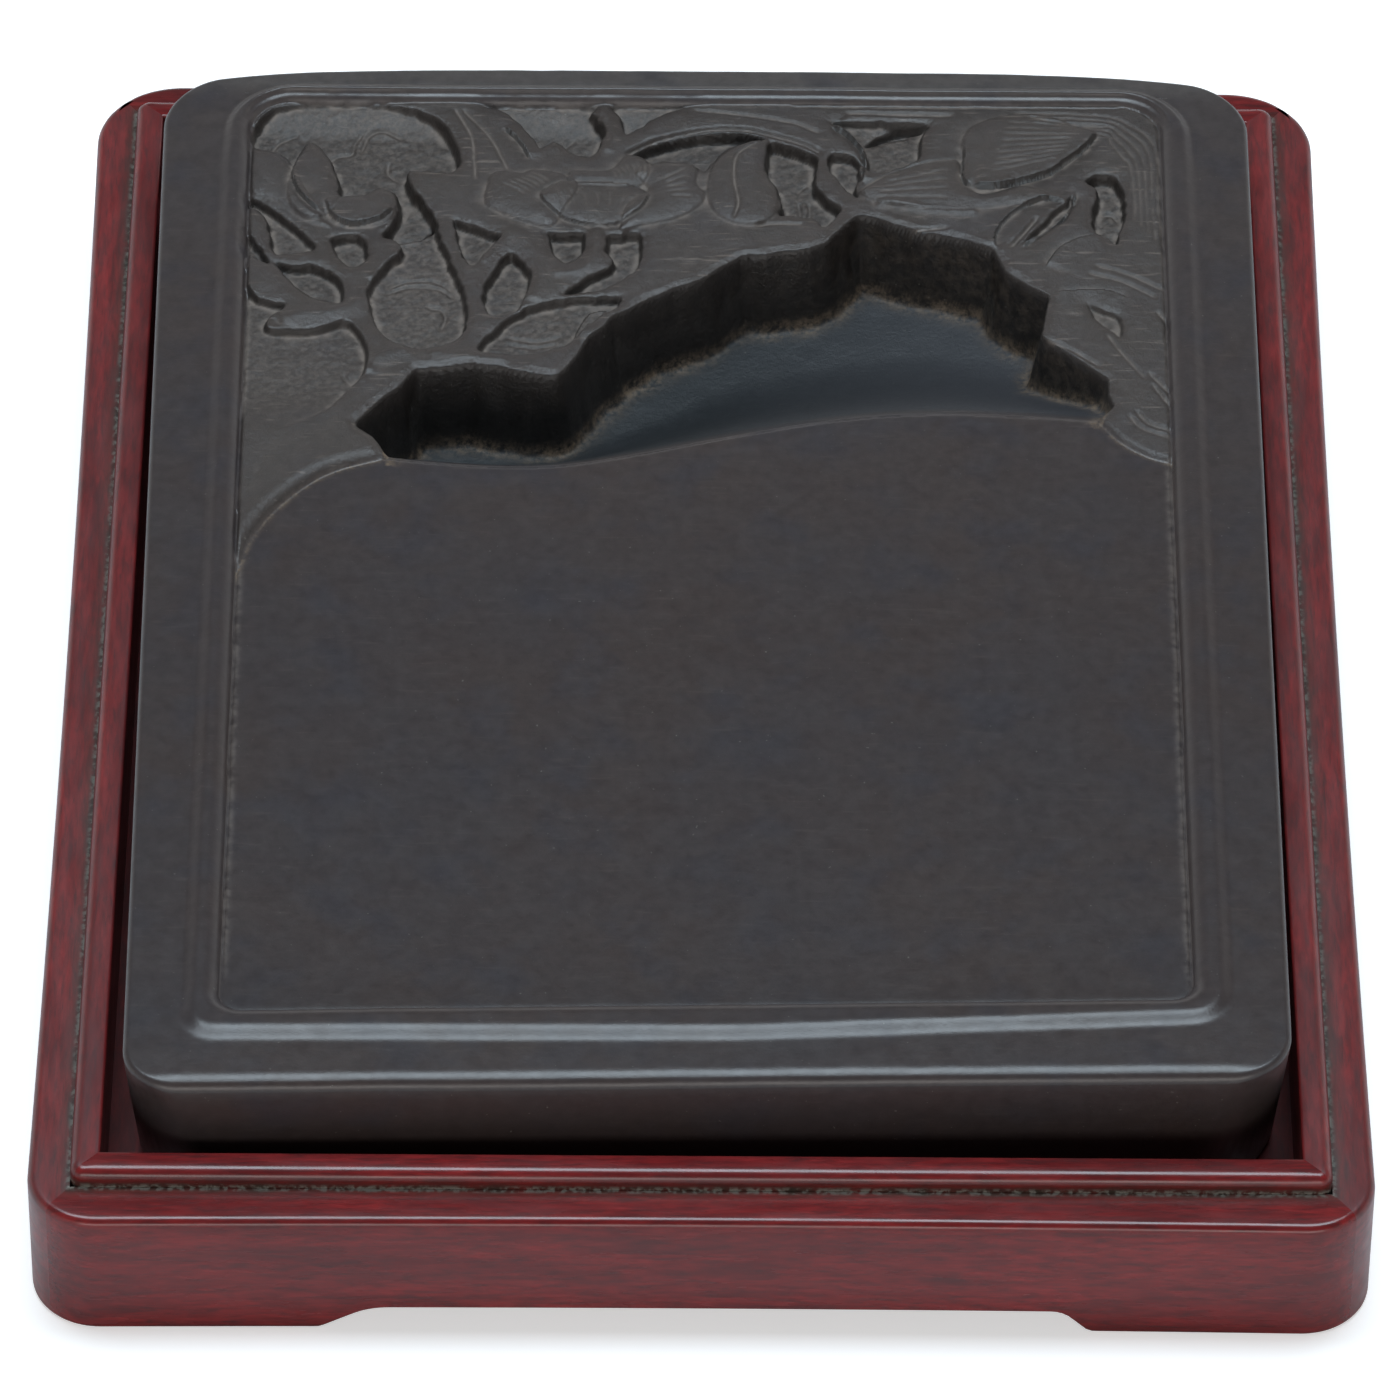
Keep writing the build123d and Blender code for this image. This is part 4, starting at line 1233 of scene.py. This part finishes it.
# ================================================================ camera and light
CAMERA_PLACE = (-4.44, -1056.156, 1004.342)
CAMERA_YAW = 0.003899
CAMERA_PITCH = 0.757370     # downwards
CAMERA_ROLL = 0.008887
CAMERA_LENS = 269.04
SENSOR = 36.0


def camera():
    data = bpy.data.cameras.new("camera")
    data.lens = CAMERA_LENS
    data.sensor_width = SENSOR
    data.clip_end = 100
    flat = math.cos(CAMERA_PITCH)
    forward = Vector((math.sin(CAMERA_YAW) * flat, math.cos(CAMERA_YAW) * flat, -math.sin(CAMERA_PITCH)))
    level = Vector((math.cos(CAMERA_YAW), -math.sin(CAMERA_YAW), 0))
    above = level.cross(forward)
    right = math.cos(CAMERA_ROLL) * level + math.sin(CAMERA_ROLL) * above
    up = -math.sin(CAMERA_ROLL) * level + math.cos(CAMERA_ROLL) * above
    turn = Matrix((right, up, -forward)).transposed().to_4x4()
    eye = add_object("camera", data)
    eye.matrix_world = Matrix.Translation(Vector(CAMERA_PLACE) * MM) @ turn
    bpy.context.scene.camera = eye


def area_light(name, place, size, power, colour):
    """A soft light, in metres and watts, that shines at the middle of the tray's foot."""
    data = bpy.data.lights.new(name, "AREA")
    data.shape = "RECTANGLE"
    data.size, data.size_y = size
    data.energy = power
    data.color = colour
    lamp = add_object(name, data)
    lamp.location = place
    lamp.rotation_euler = (Vector() - Vector(place)).to_track_quat("-Z", "Y").to_euler()


# How bright the surroundings are, as (sine of the height above the horizon, brightness).
SKY = [(0.0, 1.0), (0.1, 1.0), (0.28, 0.5), (0.5, 0.13), (0.8, 0.08), (1.0, 0.12)]


def surroundings():
    """White near the horizon, dimmer higher up, as in a small photographic tent."""
    world = bpy.data.worlds.new("surroundings")
    bpy.context.scene.world = world
    world.use_nodes = True
    tree = world.node_tree
    place = tree.nodes.new("ShaderNodeTexCoord").outputs["Generated"]
    axes = tree.nodes.new("ShaderNodeSeparateXYZ")
    ramp = tree.nodes.new("ShaderNodeValToRGB")
    tree.links.new(place, axes.inputs[0])
    tree.links.new(axes.outputs["Z"], ramp.inputs[0])
    stops = ramp.color_ramp.elements
    for stop, (_, level) in zip(stops, (SKY[0], SKY[-1])):
        stop.color = (level, level, level, 1)
    for height, level in SKY[1:-1]:
        stops.new(height).color = (level, level, level, 1)
    tree.links.new(ramp.outputs[0], tree.nodes["Background"].inputs["Color"])


FLOOR_GLOW = 0.50           # how white the paper looks before any light falls on it
FLOOR_COLOUR = (0.8, 0.8, 0.8, 1)
FLOOR_ROUGHNESS = 0.9
FLOOR_HALF = 30.0           # metres


def floor():
    """White paper, which glows a little for the camera only."""
    mesh = bpy.data.meshes.new("floor")
    corners = [(x, y, 0) for x, y in rectangle((FLOOR_HALF, FLOOR_HALF))]
    mesh.from_pydata(corners, [], [(0, 1, 2, 3)])
    plane = add_object("floor", mesh)
    n = Nodes("floor_paper")
    on_camera = n.add("ShaderNodeLightPath").outputs["Is Camera Ray"]
    for socket, value in {"Base Color": FLOOR_COLOUR, "Roughness": FLOOR_ROUGHNESS, "Specular IOR Level": 0.0,
                          "Emission Color": (1, 1, 1, 1),
                          "Emission Strength": n.times(on_camera, FLOOR_GLOW)}.items():
        n.put(n.shader.inputs[socket], value)
    mesh.materials.append(n.material)


# ================================================================ putting it together
def dress(piece, node, body, material):
    piece.data.materials.append(material)
    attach(piece, body)
    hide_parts(node)


WOOD_X = rosewood("rosewood_skin_x", along_x=True, polish=(0.20, 0.33), gloss=0.38)
WOOD_Y = rosewood("rosewood_skin_y", along_x=False, polish=(0.33, 0.45), gloss=0.6)
for number, side_name in enumerate(("front", "right", "back", "left")):
    wood = WOOD_Y if number % 2 else WOOD_X
    dress(rail(side_name + "_rail_wood", number), side_name + "_rail", "tray", wood)
    dress(lip(side_name + "_lip_wood", number), side_name + "_lip", "tray", wood)
dress(inkstone(), "inkstone", "stone", slate())
splines = [end + side + "_spline" for end in ("front_", "back_") for side in ("left", "right")]
for node_name in ("bottom_board", *splines):
    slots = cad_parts[node_name].data.materials
    slots.clear()
    slots.append(WOOD_Y)

camera()
surroundings()
floor()
area_light("overhead", place=(0, 0.16, 1.3), size=(1.1, 0.5), power=19.0, colour=(0.76, 0.90, 1.0))
area_light("front_fill", place=(0, -1.6, 0.4), size=(1.6, 0.5), power=8.0, colour=(1.0, 0.97, 0.94))
bpy.context.scene.view_settings.view_transform = "Standard"
